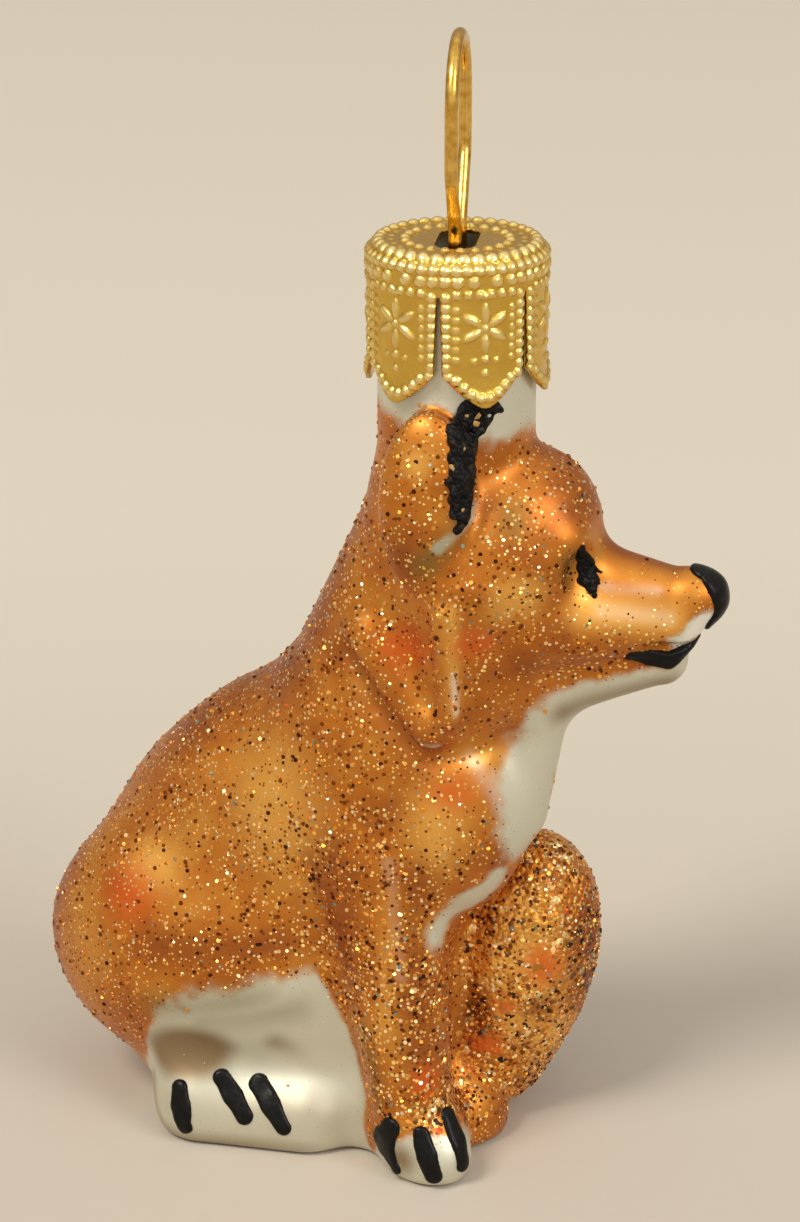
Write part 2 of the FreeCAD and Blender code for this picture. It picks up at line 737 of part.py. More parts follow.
def pieces():
    glass = glass_outside()
    head = blended(masses_of(head_mass_shares, in_head=True))
    foreleg = blended(masses_of(right_foreleg_shares))
    hind_foot = blended(masses_of(right_hind_foot_shares))
    named = {
        "glass_body": glass.cut(bore()),
        "ornament_cap": ornament_cap(),
        "hanger_wire": hanger_wire(),
        "nose_paint": nose_paint(glass),
        "mouth_paint": mouth_paint(glass, head),
        "right_eye_paint": painted(glass, head, eye_shares, eye_paint_width, right_head),
        "left_eye_paint": painted(glass, head, eye_shares, eye_paint_width, left_head),
    }
    for name, side, to_frame in (("right", -1, right_head), ("left", 1, left_head)):
        paint = painted(glass, ear_distance(side), ear_paint_shares, ear_paint_width, to_frame)
        named[name + "_ear_paint"] = paint
    claws = {"forepaw": (foreleg, forepaw_claw_shares), "right_hind": (hind_foot, hind_claw_shares)}
    for name, (distance, strokes) in claws.items():
        solids = [painted(glass, distance, stroke, claw_paint_width) for stroke in strokes]
        named[name + "_claw_paint"] = Part.makeCompound(solids)
    return named


os.makedirs("parts", exist_ok=True)
for node, shape in pieces().items():
    solid = shape.Solids[0] if len(shape.Solids) == 1 else shape
    solid.exportStep("parts/" + node + ".step")
    print(node, solid.isValid(), "solids", len(solid.Solids), "volume", round(solid.Volume, 2))
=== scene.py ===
# %% [markdown]
# # A blown glass fox with a crown cap
# The object is a small hanging ornament. Glass was blown into a mould, silvered inside, sprayed with
# orange lacquer, dusted with glitter, and painted by hand. A stamped cap and a wire loop sit on its neck.
# The solid model is loaded first. It is the frame for everything here: metres, +Z up, the origin on the
# ground under the neck's axis.

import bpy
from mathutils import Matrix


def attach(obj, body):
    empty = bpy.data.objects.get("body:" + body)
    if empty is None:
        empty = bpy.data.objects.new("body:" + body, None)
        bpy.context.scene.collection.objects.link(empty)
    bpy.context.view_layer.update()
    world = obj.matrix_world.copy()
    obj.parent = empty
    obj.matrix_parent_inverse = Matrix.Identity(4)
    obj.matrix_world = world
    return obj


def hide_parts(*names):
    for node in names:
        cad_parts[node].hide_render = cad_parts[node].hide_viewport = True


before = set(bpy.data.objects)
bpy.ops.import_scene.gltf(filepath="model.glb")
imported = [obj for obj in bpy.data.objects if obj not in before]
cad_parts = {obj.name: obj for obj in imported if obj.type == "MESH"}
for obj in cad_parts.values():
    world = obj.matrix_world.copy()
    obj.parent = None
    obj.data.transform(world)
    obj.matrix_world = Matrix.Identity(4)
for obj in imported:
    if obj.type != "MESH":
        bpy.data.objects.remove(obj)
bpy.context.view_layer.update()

# %% Modules and units
import math
from functools import partial

import bpy
import numpy as np
import openvdb
from mathutils import Vector

mm = 0.001
scene = bpy.context.scene


def colour(code):
    """An sRGB hex colour as the linear colour that a shader takes."""
    shares = [int(code[at:at + 2], 16) / 255 for at in (1, 3, 5)]
    return (*[(s + 0.055) ** 2.4 / 1.055 ** 2.4 if s > 0.04 else s / 12.92 for s in shares], 1)


print("nodes", sorted(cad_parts))

# %% [markdown]
# ## Camera
# The photograph looks down a little, from the fox's right and front, through a long lens. The camera's
# place was worked out from the cap's round top: how flat its ellipse is gives the height of the eye.

# %% Camera
camera_place = Vector((95.0, -164.5, 107.87)) * mm
camera_pitch = 20.5
camera_heading = 31.04
camera_lens = 96.44
film_side = 36.0


def add_camera():
    data = bpy.data.cameras.new("camera")
    data.sensor_fit = "VERTICAL"
    data.sensor_height = film_side
    data.lens = camera_lens
    data.clip_start = 1 * mm
    camera = bpy.data.objects.new("camera", data)
    camera.location = camera_place
    camera.rotation_euler = (math.radians(90 - camera_pitch), 0, math.radians(camera_heading))
    scene.collection.objects.link(camera)
    scene.camera = camera


add_camera()
print("camera at", tuple(round(c, 4) for c in camera_place))

# %% [markdown]
# ## Masses
# The form is soft everywhere, as blown glass is, because hot glass never fills the corners of a mould.
# Eggs and tapered rods that melt into each other give just that. Each mass is a formula for the distance
# to its surface, and two distances are joined with a rounded valley. All the sizes are millimetres.

# %% Distance formulas
def turned(x, y, degrees):
    """Two coordinates along and across a direction turned from the first one."""
    turn = math.radians(degrees)
    return x * math.cos(turn) + y * math.sin(turn), y * math.cos(turn) - x * math.sin(turn)


def egg(x, y, z, centre, half, turn=0.0, tilt=0.0):
    """Distance to an egg with three half sizes, turned about Z and tilted nose up."""
    ahead, side = turned(x - centre[0], y - centre[1], turn)
    along, above = turned(ahead, z - centre[2], tilt)
    places = (along, side, above)
    near = np.sqrt(sum((place / size) ** 2 for place, size in zip(places, half)))
    steep = np.sqrt(sum((place / size ** 2) ** 2 for place, size in zip(places, half)))
    return near * (near - 1) / np.maximum(steep, 1e-6)


def rod(x, y, z, start, end, start_radius, end_radius):
    """Distance to a tapered rod with round ends."""
    start, end = np.array(start), np.array(end)
    length = np.linalg.norm(end - start)
    axis = (end - start) / length
    lean = (start_radius - end_radius) / length
    lean = lean / math.sqrt(1 - lean * lean)
    x, y, z = x - start[0], y - start[1], z - start[2]
    far = x * axis[0] + y * axis[1] + z * axis[2]
    off = np.sqrt(np.maximum(x * x + y * y + z * z - far * far, 0))
    share = np.clip((far + off * lean) / length, 0, 1)
    gap = np.sqrt(off * off + (far - share * length) ** 2)
    return gap - start_radius - share * (end_radius - start_radius)


def join(a, b, reach):
    """The nearer of two surfaces, with a rounded valley where they meet."""
    overlap = np.maximum(reach - np.abs(a - b), 0)
    return np.minimum(a, b) - overlap * overlap / (4 * reach)


def carve(a, b, reach):
    """The first form less the second, with a rounded edge."""
    return -join(-a, b, reach)


def scored(total, places, path, radii, reach):
    """The form with a groove cut along a path."""
    for start, end, first, last in zip(path, path[1:], radii, radii[1:]):
        total = carve(total, rod(*places, start, end, first, last), reach)
    return total


def joined(x, y, z, masses):
    """Masses from a table: name, (formula, reach, ...sizes)."""
    total = None
    for formula, reach, *sizes in masses.values():
        part = formula(x, y, z, *sizes)
        total = part if total is None else join(total, part, reach)
    return total


print("formulas ready")

# %% [markdown]
# ## The fox's masses
# The right side is described, and Y is folded over for the haunches, so both sides share one table.
# The head has its own table in its own frame, because it looks 20 degrees to the fox's left.

# %% Tables of masses
trunk_masses = {
    "nape": (rod, 4.0, (-0.4, 0, 43.5), (-5.0, 0, 31), 5.0, 6.4),
    "chest": (egg, 4.0, (-2.4, 0, 24.5), (7.6, 6.2, 9.0)),
    "shoulders": (egg, 4.0, (-10.5, 0, 22.5), (9.0, 7.0, 8.5)),
    "back": (egg, 4.0, (-15.5, 0, 17.0), (9.5, 7.6, 9.0), 0, -20),
    "rump": (egg, 4.0, (-20.0, 0, 10.5), (8.6, 8.0, 8.2)),
    "haunch": (egg, 3.0, (-17.6, -4.8, 11.4), (9.9, 5.2, 8.0)),
    "belly": (egg, 4.0, (-8.5, 0, 9.0), (8.0, 5.5, 11.0)),
    "seat": (egg, 3.0, (-13.5, 0, 2.5), (9.5, 7.5, 4.0)),
    "fore seat": (egg, 2.5, (-4.0, 0, 1.5), (6.5, 5.0, 4.0)),
}
hind_foot_masses = {
    "foot": (rod, 1.0, (-14.6, -7.2, 1.6), (-8.0, -5.2, 1.6), 3.0, 2.8),
    "heel": (egg, 2.0, (-15.5, -7.0, 3.4), (2.6, 2.4, 3.6)),
}
right_foreleg_masses = {
    "leg": (rod, 1.0, (-3.6, -2.8, 21), (-0.5, -4.2, 4.0), 4.0, 2.6),
    "paw": (egg, 1.5, (0.5, -4.4, 1.5), (3.5, 2.65, 3.0), -20),
}
left_foreleg_masses = {
    "leg": (rod, 1.0, (-4.0, 2.6, 21), (-1.5, 3.0, 4.0), 3.8, 2.6),
    "paw": (egg, 1.5, (0.0, 1.5, 1.5), (3.0, 2.65, 3.0)),
}
tail_masses = {
    "root": (rod, 1.0, (-17, 7.0, 5.5), (-6.5, 9.5, 6.5), 4.0, 4.6),
    "bend": (rod, 2.0, (-6.5, 9.5, 6.5), (-0.5, 7.5, 8.0), 4.6, 4.5),
    "brush": (egg, 2.0, (1.3, 6.2, 11.0), (5.2, 5.0, 9.2), 0, -14),
    "brush foot": (egg, 2.0, (-1.0, 5.2, 4.5), (4.4, 4.4, 4.6)),
}
head_turn = 20.0
head_masses = {
    "skull": (egg, 3.0, (1.9, 0, 41.4), (7.2, 6.3, 6.6)),
    "forehead": (egg, 2.0, (4.9, 0, 44.2), (3.3, 3.6, 3.0)),
    "bridge": (rod, 1.6, (6.0, 0, 39.2), (13.9, 0, 38.7), 3.6, 1.95),
    "lip": (rod, 0.9, (6.0, -1.2, 37.4), (13.6, -0.6, 37.2), 3.6, 1.75),
    "nose": (egg, 0.6, (15.0, 0, 38.9), (1.75, 1.65, 1.75)),
    "jaw": (rod, 0.9, (3.0, 0, 34.8), (13.1, 0, 34.9), 3.6, 1.25),
    "lower jaw": (rod, 1.4, (12.8, 0, 34.4), (5.4, 0, 32.3), 1.25, 2.3),
    "throat": (rod, 1.6, (5.3, 0, 31.8), (3.5, 0, 24.0), 2.1, 2.5),
    "cheek": (rod, 1.6, (0.6, -3.4, 37.4), (-0.4, -4.4, 31.4), 4.7, 1.2),
    "lower cheek": (egg, 1.6, (1.4, -1.6, 34.0), (4.0, 3.7, 4.4)),
    "ruff back": (rod, 0.8, (-4.6, -3.2, 36.2), (-0.8, -4.6, 31.0), 1.7, 1.25),
    "ruff front": (rod, 0.8, (-0.8, -4.6, 31.0), (4.0, -1.2, 31.8), 1.25, 1.2),
    "ruff ridge": (rod, 0.9, (0.4, -6.5, 39.0), (0.7, -5.7, 32.0), 0.75, 0.6),
    "brow": (egg, 1.4, (6.6, -2.6, 43.0), (1.7, 1.5, 1.2), -20),
}
ear_lobe = ((-0.7, -5.7, 45.6), (3.0, 1.6, 5.8))
ear_groove = ((3.6, -4.6, 50.6), (2.7, -6.0, 45.9), (1.9, -6.9, 43.1), (1.3, -7.3, 41.0))
groove_radii = (1.2, 1.0, 0.6, 0.4)
eye_socket = ((8.9, -3.6, 41.2), (1.5, 1.0, 1.4))
ruff_crease = (
    (-6.2, -4.1, 35.6), (-3.9, -5.2, 32.2), (-0.7, -5.6, 28.8), (2.4, -4.2, 29.2), (3.4, -3.6, 29.3),
)
crease_radii = (0.42,) * len(ruff_crease)
heel_dent = ((-14.6, -10.4, 6.2), (2.8, 1.3, 1.5))
mouth_line = ((11.0, -3.2, 35.9), (15.6, -0.8, 36.3), 0.5, 0.3)
print("masses", len(trunk_masses) + len(head_masses) + len(tail_masses))

# %% [markdown]
# ## Unevenness
# Nothing made by hand is even. One block of seeded random heights, read smoothly between its cells,
# gives lumps of any size. They break up the tail's crust, the lacquer's edges and the gritty paint.

# %% Lumps and soft edges
lump_cells = 24
lump_heights = np.random.default_rng(7).random((lump_cells,) * 3)


def lumps(x, y, z, size):
    """Even noise between -1 and 1 with lumps of a given size."""
    total = 0.0
    places = [np.asarray(c / size, dtype=float) for c in (x, y, z)]
    cells = [np.floor(place).astype(int) for place in places]
    shares = [place - cell for place, cell in zip(places, cells)]
    shares = [share * share * (3 - 2 * share) for share in shares]
    for corner in range(8):
        steps = [corner >> axis & 1 for axis in range(3)]
        weight = 1.0
        for share, step in zip(shares, steps):
            weight = weight * (share if step else 1 - share)
        index = tuple((cell + step) % lump_cells for cell, step in zip(cells, steps))
        total = total + weight * lump_heights[index]
    return 2 * total - 1


def soft(distance, width):
    """1 inside, 0 outside, with a soft edge as wide as the width."""
    share = np.clip(0.5 - distance / width, 0, 1)
    return share * share * (3 - 2 * share)


print("lumps between", lump_heights.min().round(2), "and", lump_heights.max().round(2))

# %% [markdown]
# ## The whole glass
# The masses are joined part by part. The eye sockets, ear grooves, mouth and creases are then carved.
# Last come the crumbs of glitter on the tail and the bore of the neck.

# %% The forms
neck_radius, neck_foot, neck_rim = 4.8, 40, 60.2
bore_radius, bore_foot, open_end = 4.0, 40.0, 80
crumb_rise, crumb_size = 0.16, 0.95


def trunk(x, y, z):
    neck = rod(x, y, z, (0, 0, neck_foot), (0, 0, open_end), neck_radius, neck_radius)
    return join(joined(x, -np.abs(y), z, trunk_masses), neck, 1.6)


def head(x, y, z):
    ahead, side = turned(x, y, head_turn)
    places = (ahead, -np.abs(side), z)
    total = joined(*places, head_masses)
    total = carve(total, egg(*places, *eye_socket), 0.8)
    total = carve(total, rod(*places, *mouth_line), 0.5)
    total = join(total, egg(*places, *ear_lobe), 0.6)
    return scored(total, places, ear_groove, groove_radii, 0.5)


def limbs(x, y, z):
    total = joined(x, -np.abs(y), z, hind_foot_masses)
    total = join(total, joined(x, y, z, right_foreleg_masses), 1.0)
    return join(total, joined(x, y, z, left_foreleg_masses), 1.0)


def tail(x, y, z):
    return joined(x, y, z, tail_masses)


def outside(x, y, z):
    """The whole glass from outside, flat underneath and at the neck's rim."""
    total = join(trunk(x, y, z), limbs(x, y, z), 1.6)
    total = join(total, tail(x, y, z), 0.7)
    total = join(total, head(x, y, z), 0.9)
    total = scored(total, (*turned(x, y, head_turn), z), ruff_crease, crease_radii, 0.6)
    total = carve(total, egg(x, y, z, *heel_dent), 1.0)
    total = -join(-total, z, 0.5)
    return -join(-total, neck_rim - z, 0.4)


def glass(x, y, z):
    """The glass with the crumbs of glitter on its tail and with its bore."""
    on_tail = soft(tail(x, y, z) - 0.2, 0.7)
    crumbs = crumb_rise * on_tail * (lumps(x, y, z, crumb_size) + 0.5 * lumps(x, y, z, crumb_size / 2))
    bore = rod(x, y, z, (0, 0, bore_foot), (0, 0, open_end), bore_radius, bore_radius)
    return carve(outside(x, y, z) - crumbs, bore, 0.3)


print("glass between the ground and", neck_rim, "mm")

# %% [markdown]
# ## From formula to mesh
# The formula is measured on a fine grid, and the surface where it is zero becomes a mesh. A grid step of
# a third of a millimetre keeps every crease of the mould, and the mesh is smooth, with even quads.

# %% Meshing
def surface(distance, low, high, step):
    """Corner places in millimetres and quads of the surface where a distance is zero."""
    axes = [np.arange(a, b + step, step, dtype=np.float32) for a, b in zip(low, high)]
    x, y, z = np.meshgrid(*axes, indexing="ij", sparse=True)
    values = np.broadcast_to(distance(x, y, z), [len(axis) for axis in axes]).astype(np.float32)
    grid = openvdb.FloatGrid(4 * step)
    grid.copyFromArray(np.clip(values, -4 * step, 4 * step))
    points, quads = grid.convertToQuads(0.0)
    corners = points[quads[:, :3]].astype(float)
    volume = np.einsum("ij,ij->", corners[:, 0], np.cross(corners[:, 1], corners[:, 2]))
    if volume < 0:
        quads = quads[:, ::-1]
    return points * step + np.array(low), quads


def add_mesh(name, points, faces, material=None, smooth=True):
    """A mesh object from places in millimetres."""
    data = bpy.data.meshes.new(name)
    data.from_pydata(np.asarray(points) * mm, [], [list(map(int, face)) for face in faces])
    data.polygons.foreach_set("use_smooth", [smooth] * len(data.polygons))
    data.update()
    piece = bpy.data.objects.new(name, data)
    scene.collection.objects.link(piece)
    if material:
        data.materials.append(material)
    return piece


def store(piece, name, values):
    """One value at each corner of a mesh, for its material to read."""
    piece.data.attributes.new(name, "FLOAT", "POINT").data.foreach_set("value", values.astype(np.float32))


glass_step = 0.33
points, quads = surface(glass, (-30.5, -12, -1), (18, 16.5, 61.5), glass_step)
fox = add_mesh("glass_fox", points, quads)
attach(fox, "figurine")
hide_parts("glass_body")
print("glass", len(points), "corners", len(quads), "quads")

# %% [markdown]
# ## Where the colours lie
# The lacquer was sprayed by hand, so its edges are soft and its depth varies. A painter would mask and
# spray the ornament; here each sprayed or bare place is an egg or a rod with a soft edge, listed in a
# table. The same tables also hold painted light: painted highlights as gold, pale or bare spots, and
# painted shade as deep spots and as darker spots on the bare silver. Each corner of the mesh then
# stores how much of every layer it has, and the shader reads that.
# It is easier to correct than an image, and it can't slide over the surface.

# %% Tables of colour places
body_spots = {
    # The gold rows on the haunch, shoulder and chest are painted highlights.
    "haunch highlight": ("gold", egg, 3.4, (-17.6, -8.4, 18.8), (2.0, 2, 1.6)),
    "haunch blush": ("red", egg, 3.6, (-19.0, -9.0, 16.6), (1.7, 2, 1.5)),
    "shoulder highlight": ("gold", egg, 5.0, (-9.0, -6.5, 24), (3, 2, 4.0)),
    "chest highlight": ("gold", egg, 3.5, (1.6, -5, 24.5), (1.5, 2, 3.0)),
    "chest blush": ("red", egg, 2.5, (2.2, -4, 26.8), (1.2, 2, 1.0)),
    # The deep rows are painted shade: on the back, nape, ruff, shoulder and rump, under the haunch and down
    # the leg.
    "back shade": ("deep", rod, 5.0, (-11, 0, 33), (-24, 0, 19), 3.0, 3.0),
    "nape shade": ("deep", rod, 3.5, (-5.5, -1, 44), (-9.5, -2.5, 33), 2.6, 3.2),
    "ruff shade": ("deep", rod, 2.5, (-4.6, -5.4, 35.5), (0.5, -4.9, 28.4), 0.9, 0.9),
    "shoulder shade": ("deep", rod, 2.5, (-4.8, -8, 23), (-4.2, -7, 13.5), 0.9, 0.8),
    "under haunch shade": ("deep", rod, 2.5, (-16, -9.6, 14), (-6, -7, 15.2), 0.7, 0.9),
    "rump shade": ("deep", egg, 4.0, (-26, -3, 12), (3, 5, 7)),
    # A painted highlight along the ridge of the leg.
    "leg ridge highlight": ("gold", rod, 1.6, (-0.6, -6.8, 19.6), (-1.1, -6.9, 11), 0.5, 0.4),
    "leg shade": ("deep", rod, 2.4, (0.6, -5.6, 21), (0.8, -5.6, 6), 0.9, 0.9),
    "leg olive": ("olive", rod, 1.8, (-2.6, -6.8, 10), (-1.6, -6.9, 5.4), 0.3, 0.4),
    "paw blush": ("red", egg, 1.4, (1.3, -5.7, 6.8), (0.9, 1, 1.3)),
    # Pale painted highlights: on the chest under the ruff, and along the leg.
    "chest pale highlight": ("white", rod, 3.0, (3.0, -3.2, 28.8), (4.6, -2.2, 25.8), -0.5, -0.3),
    "leg pale highlight": ("white", rod, 2.4, (-1.0, -6.4, 22), (-0.2, -6.1, 14), -0.4, -0.5),
    # Painted shade in the band between the leg and the belly.
    "leg back shade": ("deep", rod, 2.0, (-6.4, -6.6, 21), (-4.6, -6.2, 15), 0.5, 0.5),
    # Olive tint on the bare wall above the foot.
    "heel olive": ("olive", rod, 2.4, (-16.5, -9.6, 9.4), (-9, -8.4, 11.2), 0.8, 0.8),
    "wall olive": ("olive", rod, 3.0, (-13.5, -9, 9.0), (-7.5, -7, 10.2), 0.6, 0.6),
    # Painted shade on the bare silver: in the hollow above the heel, over the foot, along its edge and sole,
    # under the paw and on the wall.
    "heel shade": ("smoke", egg, 1.6, (-14.6, -9.2, 6.2), (3.4, 2.2, 1.9), 0, 10),
    "foot shade": ("smoke", rod, 5.0, (-15, -9.4, 2.8), (-4, -6.4, 3.2), -0.2, 0.4),
    "foot edge shade": ("smoke", rod, 1.6, (-17.5, -8.6, 3.4), (-16.2, -9.6, 0.6), 0.4, 0.3),
    "sole shade": ("smoke", rod, 2.6, (-16, -10, 0.2), (-5, -7.8, 0.4), 0.5, 0.5),
    "paw shade": ("smoke", egg, 1.6, (0.4, -7.3, 1.8), (0.9, 0.8, 0.9)),
    "wall shade": ("smoke", rod, 2.0, (-9, -7.2, 7.5), (-6, -6.4, 5.2), 0.4, 0.4),
    "brush blush": ("red", egg, 1.8, (5.1, 2.5, 12.6), (1.0, 1.6, 1.3)),
    "brush middle blush": ("red", egg, 1.6, (2.9, 1.8, 9.6), (0.7, 1.5, 0.7)),
    "brush foot blush": ("red", egg, 1.6, (1.7, 1.5, 6.4), (1.1, 1.5, 0.7)),
    "brush wash": ("gold", egg, 4.0, (3.6, 2.6, 11), (2.4, 3, 5)),
    "brush glow": ("gold", egg, 2.4, (2.0, 1.4, 12.4), (1.9, 2.2, 2.6)),
    "brush top glow": ("gold", egg, 2.0, (3.0, 2.4, 16.4), (1.6, 2.2, 1.4)),
    "brush foot glow": ("gold", egg, 2.0, (5.0, 4.0, 6.0), (1.6, 2.6, 2.2)),
    "brush shade": ("deep", egg, 1.6, (6.9, 5.6, 14.6), (0.9, 2, 2.2)),
    "brush low shade": ("deep", egg, 1.2, (4.7, 2.8, 9.4), (0.9, 1.6, 0.8)),
    "brush side shade": ("deep", egg, 1.6, (6.6, 6.6, 10), (1.0, 2, 1.6)),
    "brush root shade": ("deep", egg, 1.6, (1.2, 0.9, 8.6), (0.8, 1.6, 2.4)),
}
head_spots = {
    # Painted shade in the crease behind the ear.
    "ear crease shade": ("deep", rod, 1.2, (-3.6, -4.6, 49), (-3.4, -5.9, 42), 0.5, 0.6),
    # The gold rows, the ridge's light and the muzzle's pale row are painted highlights: on the cheek, along
    # the ruff's ridge, on the side of the muzzle and on the ear.
    "cheek highlight": ("gold", egg, 2.0, (5.0, -6.2, 40.0), (1.7, 2, 1.4)),
    "cheek blush": ("red", egg, 2.0, (2.4, -6.6, 37.0), (1.3, 2, 0.9)),
    "ruff blush": ("red", egg, 2.5, (-2.4, -5.9, 36.2), (1.5, 2, 1.2)),
    "ridge highlight": ("gold", rod, 1.1, (0.9, -6.9, 39.4), (1.2, -6.1, 32.6), 0.35, 0.35),
    "ridge light": ("white", rod, 0.7, (1.1, -6.5, 35.0), (1.2, -6.1, 32.6), 0.1, 0.1),
    "muzzle highlight": ("gold", rod, 2.0, (8.8, -3.9, 38.8), (13.6, -2.4, 38.0), 1.2, 1.0),
    "muzzle pale highlight": ("white", rod, 2.6, (9.6, -3.4, 38.8), (13.4, -2.4, 38.2), -0.3, -0.3),
    "ear highlight": ("gold", egg, 1.5, (-1.2, -7.2, 48.6), (0.7, 1, 0.8)),
    # Painted shade on the bridge and brow, under the ear, under the chin and along the jaw.
    "bridge shade": ("deep", rod, 1.6, (8, 0, 42), (13.6, 0, 40.6), 1.0, 0.7),
    "brow shade": ("deep", egg, 2.2, (7.0, -1.5, 44.5), (1.2, 2.2, 1.2)),
    "under ear shade": ("deep", egg, 2.2, (-1.8, -6.8, 42.6), (1.0, 1.2, 2.0)),
    "chin shade": ("smoke", rod, 1.8, (13.6, -1.3, 33.4), (7.4, -2.2, 31.2), 0.6, 0.8),
    "jaw shade": ("deep", rod, 1.6, (3.5, -5, 34.8), (7.5, -3.6, 34.6), 0.7, 0.4),
    # Olive tint by the ear and the brow; beside the eye the olive is painted shade.
    "ear olive": ("olive", rod, 1.4, (2.9, -5.3, 47.6), (-0.6, -7.1, 42.2), 0.5, 0.8),
    "brow olive": ("olive", egg, 2.0, (4.4, -5.4, 45.4), (0.9, 1.0, 1.6)),
    "eye olive shade": ("olive", egg, 1.1, (7.6, -3.9, 41.6), (0.6, 0.9, 1.3)),
    "lip white": ("white", rod, 0.5, (15.6, -1.1, 37.5), (14.3, -1.6, 36.4), 1.0, 0.75),
    # A painted highlight along the top edge of the muzzle's side.
    "streak highlight": ("white", rod, 1.2, (9.9, -3.1, 40.2), (12.8, -2.1, 39.9), 0.3, 0.1),
}
bare_places = {
    "chest": (egg, 3.4, (5.4, 0, 25.4), (2.0, 2.6, 4.6)),
    "breast strip": (rod, 1.8, (3.8, -1.4, 20.4), (1.4, -3.6, 16.4), 1.0, 1.2),
    # A bare place that paints a highlight under the ruff's point.
    "ruff tip highlight": (rod, 1.2, (0.8, -5.8, 30.2), (1.9, -5.3, 29.9), 0.1, 0.2),
    "paw": (egg, 1.0, (1.2, -4.9, 0.6), (4.0, 3.4, 3.4), -20),
}
bare_head_places = {
    "jaw": (rod, 1.2, (15.0, 0, 34.1), (5.4, -0.4, 31.6), 1.75, 2.5),
    "lip": (rod, 0.5, (15.6, -1.2, 37.6), (13.9, -2.0, 36.6), 0.75, 0.5),
    # A bare place that paints the highlight along the top edge of the muzzle's side.
    "muzzle highlight streak": (rod, 1.2, (9.6, -3.2, 40.3), (12.8, -2.2, 39.9), 0.45, 0.25),
    "upper groove": (rod, 0.8, (3.6, -4.0, 50.6), (3.0, -5.2, 46.8), 0.9, 0.5),
    "lower groove": (rod, 1.0, (2.7, -5.4, 46.2), (0.1, -7.1, 43.4), 0.45, 0.35),
    "throat": (rod, 2.0, (6.0, -0.4, 32.2), (5.2, -0.6, 28), 1.9, 2.2),
}
lacquer_edge = (
    (-27, -2.0), (-20.5, 2.0), (-18.5, 5.0), (-17, 8.6), (-15.4, 10.2), (-12, 11.4), (-7.8, 12.6), (-3, 12.8),
)
leg_edge = ((0, -3.0), (4, -3.6), (8.6, -4.6), (12.8, -6.6))
neck_bare_from = 49.5
crusty_paw = ((1.2, -3.5, 4.6), (2.6, 3.4, 2.2))
print("colour places", len(body_spots) + len(head_spots) + len(bare_places) + len(bare_head_places))

# %% Layers on the mesh
spot_layers = ("gold", "deep", "red", "olive", "smoke", "white")
plain_reach = 0.29


def into_head(points):
    """Places in the head's frame, with the left side folded onto the right."""
    ahead, side = turned(points[:, 0], points[:, 1], head_turn)
    return ahead, -np.abs(side), points[:, 2]


def layer(name, body, head_place):
    """All the spots of one layer, the strongest at each corner."""
    total = np.zeros(len(body[0]))
    for spots, place in ((body_spots, body), (head_spots, head_place)):
        for kind, formula, width, *sizes in spots.values():
            if kind == name:
                total = np.maximum(total, soft(formula(*place, *sizes), width))
    return total


def bare(body, head_place):
    """How bare of lacquer the silvered glass is."""
    x, y, z = body
    side = soft(y + 3.5, 1.5)
    ragged = 0.7 * lumps(x, y, z, 1.6) + 0.4 * lumps(x, y, z, 0.6)
    total = soft(z - np.interp(x, *zip(*lacquer_edge)) + ragged, 3.0)
    total = total * soft(x - np.interp(z, *zip(*leg_edge)) + 0.3 * ragged, 1.2) * side
    neck = soft(neck_bare_from - 0.3 * np.minimum(x, 0) - z + 0.6 * ragged, 3.0)
    total = np.maximum(total, neck * (1 - soft(egg(*head_place, *ear_lobe) - 0.5, 0.5)))
    for places, place in ((bare_places, body), (bare_head_places, head_place)):
        for formula, width, *sizes in places.values():
            total = np.maximum(total, soft(formula(*place, *sizes) + 0.35 * ragged, width))
    return np.maximum(total, soft(z - 0.3, 0.4))


def glitter_reach(body, head_place):
    """How far a grain of glitter reaches in its cell: more reach, more glitter."""
    x, y, z = body
    total = np.full(len(x), plain_reach)
    total = total - 0.12 * soft(rod(*head_place, (9, 0, 41), (15, 0, 38), 3.0, 2.5), 3.0)
    total = total + 0.05 * soft(egg(x, -np.abs(y), z, (-5, -6, 18), (7, 5, 9)), 6.0)
    total = total + 0.10 * soft(rod(x, y, z, (-1, -5, 13), (1.0, -4, 3.6), 3.0, 4.0), 3.0)
    return np.maximum(total, 0.39 * soft(tail(x, y, z) - 0.5, 0.9))


def paint_layers(piece, points):
    """Works out each layer at the corners of a mesh and stores it there."""
    body, head_place = tuple(points.T), into_head(points)
    layers = {name: layer(name, body, head_place) for name in spot_layers}
    on_tail = soft(tail(*body) - 0.4, 0.5)
    on_paw = soft(egg(*body, *crusty_paw), 1.6)
    layers["bare"] = bare(body, head_place) * (1 - on_tail)
    crust = np.maximum(0.85 * on_tail, 0.8 * on_paw)
    layers["crust"] = crust * (1 - 0.45 * layers["gold"]) * (1 - 0.75 * layers["red"])
    glitter = glitter_reach(body, head_place) * (1 - 0.75 * layers["bare"])
    layers["glitter"] = glitter * (1 - 0.35 * on_tail * layers["red"])
    layers["olive"] = layers["olive"] * (1 - 0.5 * on_tail)
    for name, values in layers.items():
        store(piece, name, values)
        print(name, "mean", round(float(values.mean()), 3))
    return layers


fox_layers = paint_layers(fox, points)

# %% [markdown]
# ## Silvered and lacquered glass
# The glass is silvered inside, so even the bare places have a soft metallic shine. The lacquer is a clear
# orange one: it tints the silver behind it and leaves a satin skin. One partly metallic surface does this:
# its colour is the silver's where the glass is bare and the lacquer's elsewhere, under a thin coat.
# The finest glitter is dust of cut foil, strewn on wet lacquer. Each grain lies at its own angle, so some
# flash and others look dark. Cells of a Voronoi pattern, 0.3 mm wide, give each grain a place, a colour
# and a tilt.

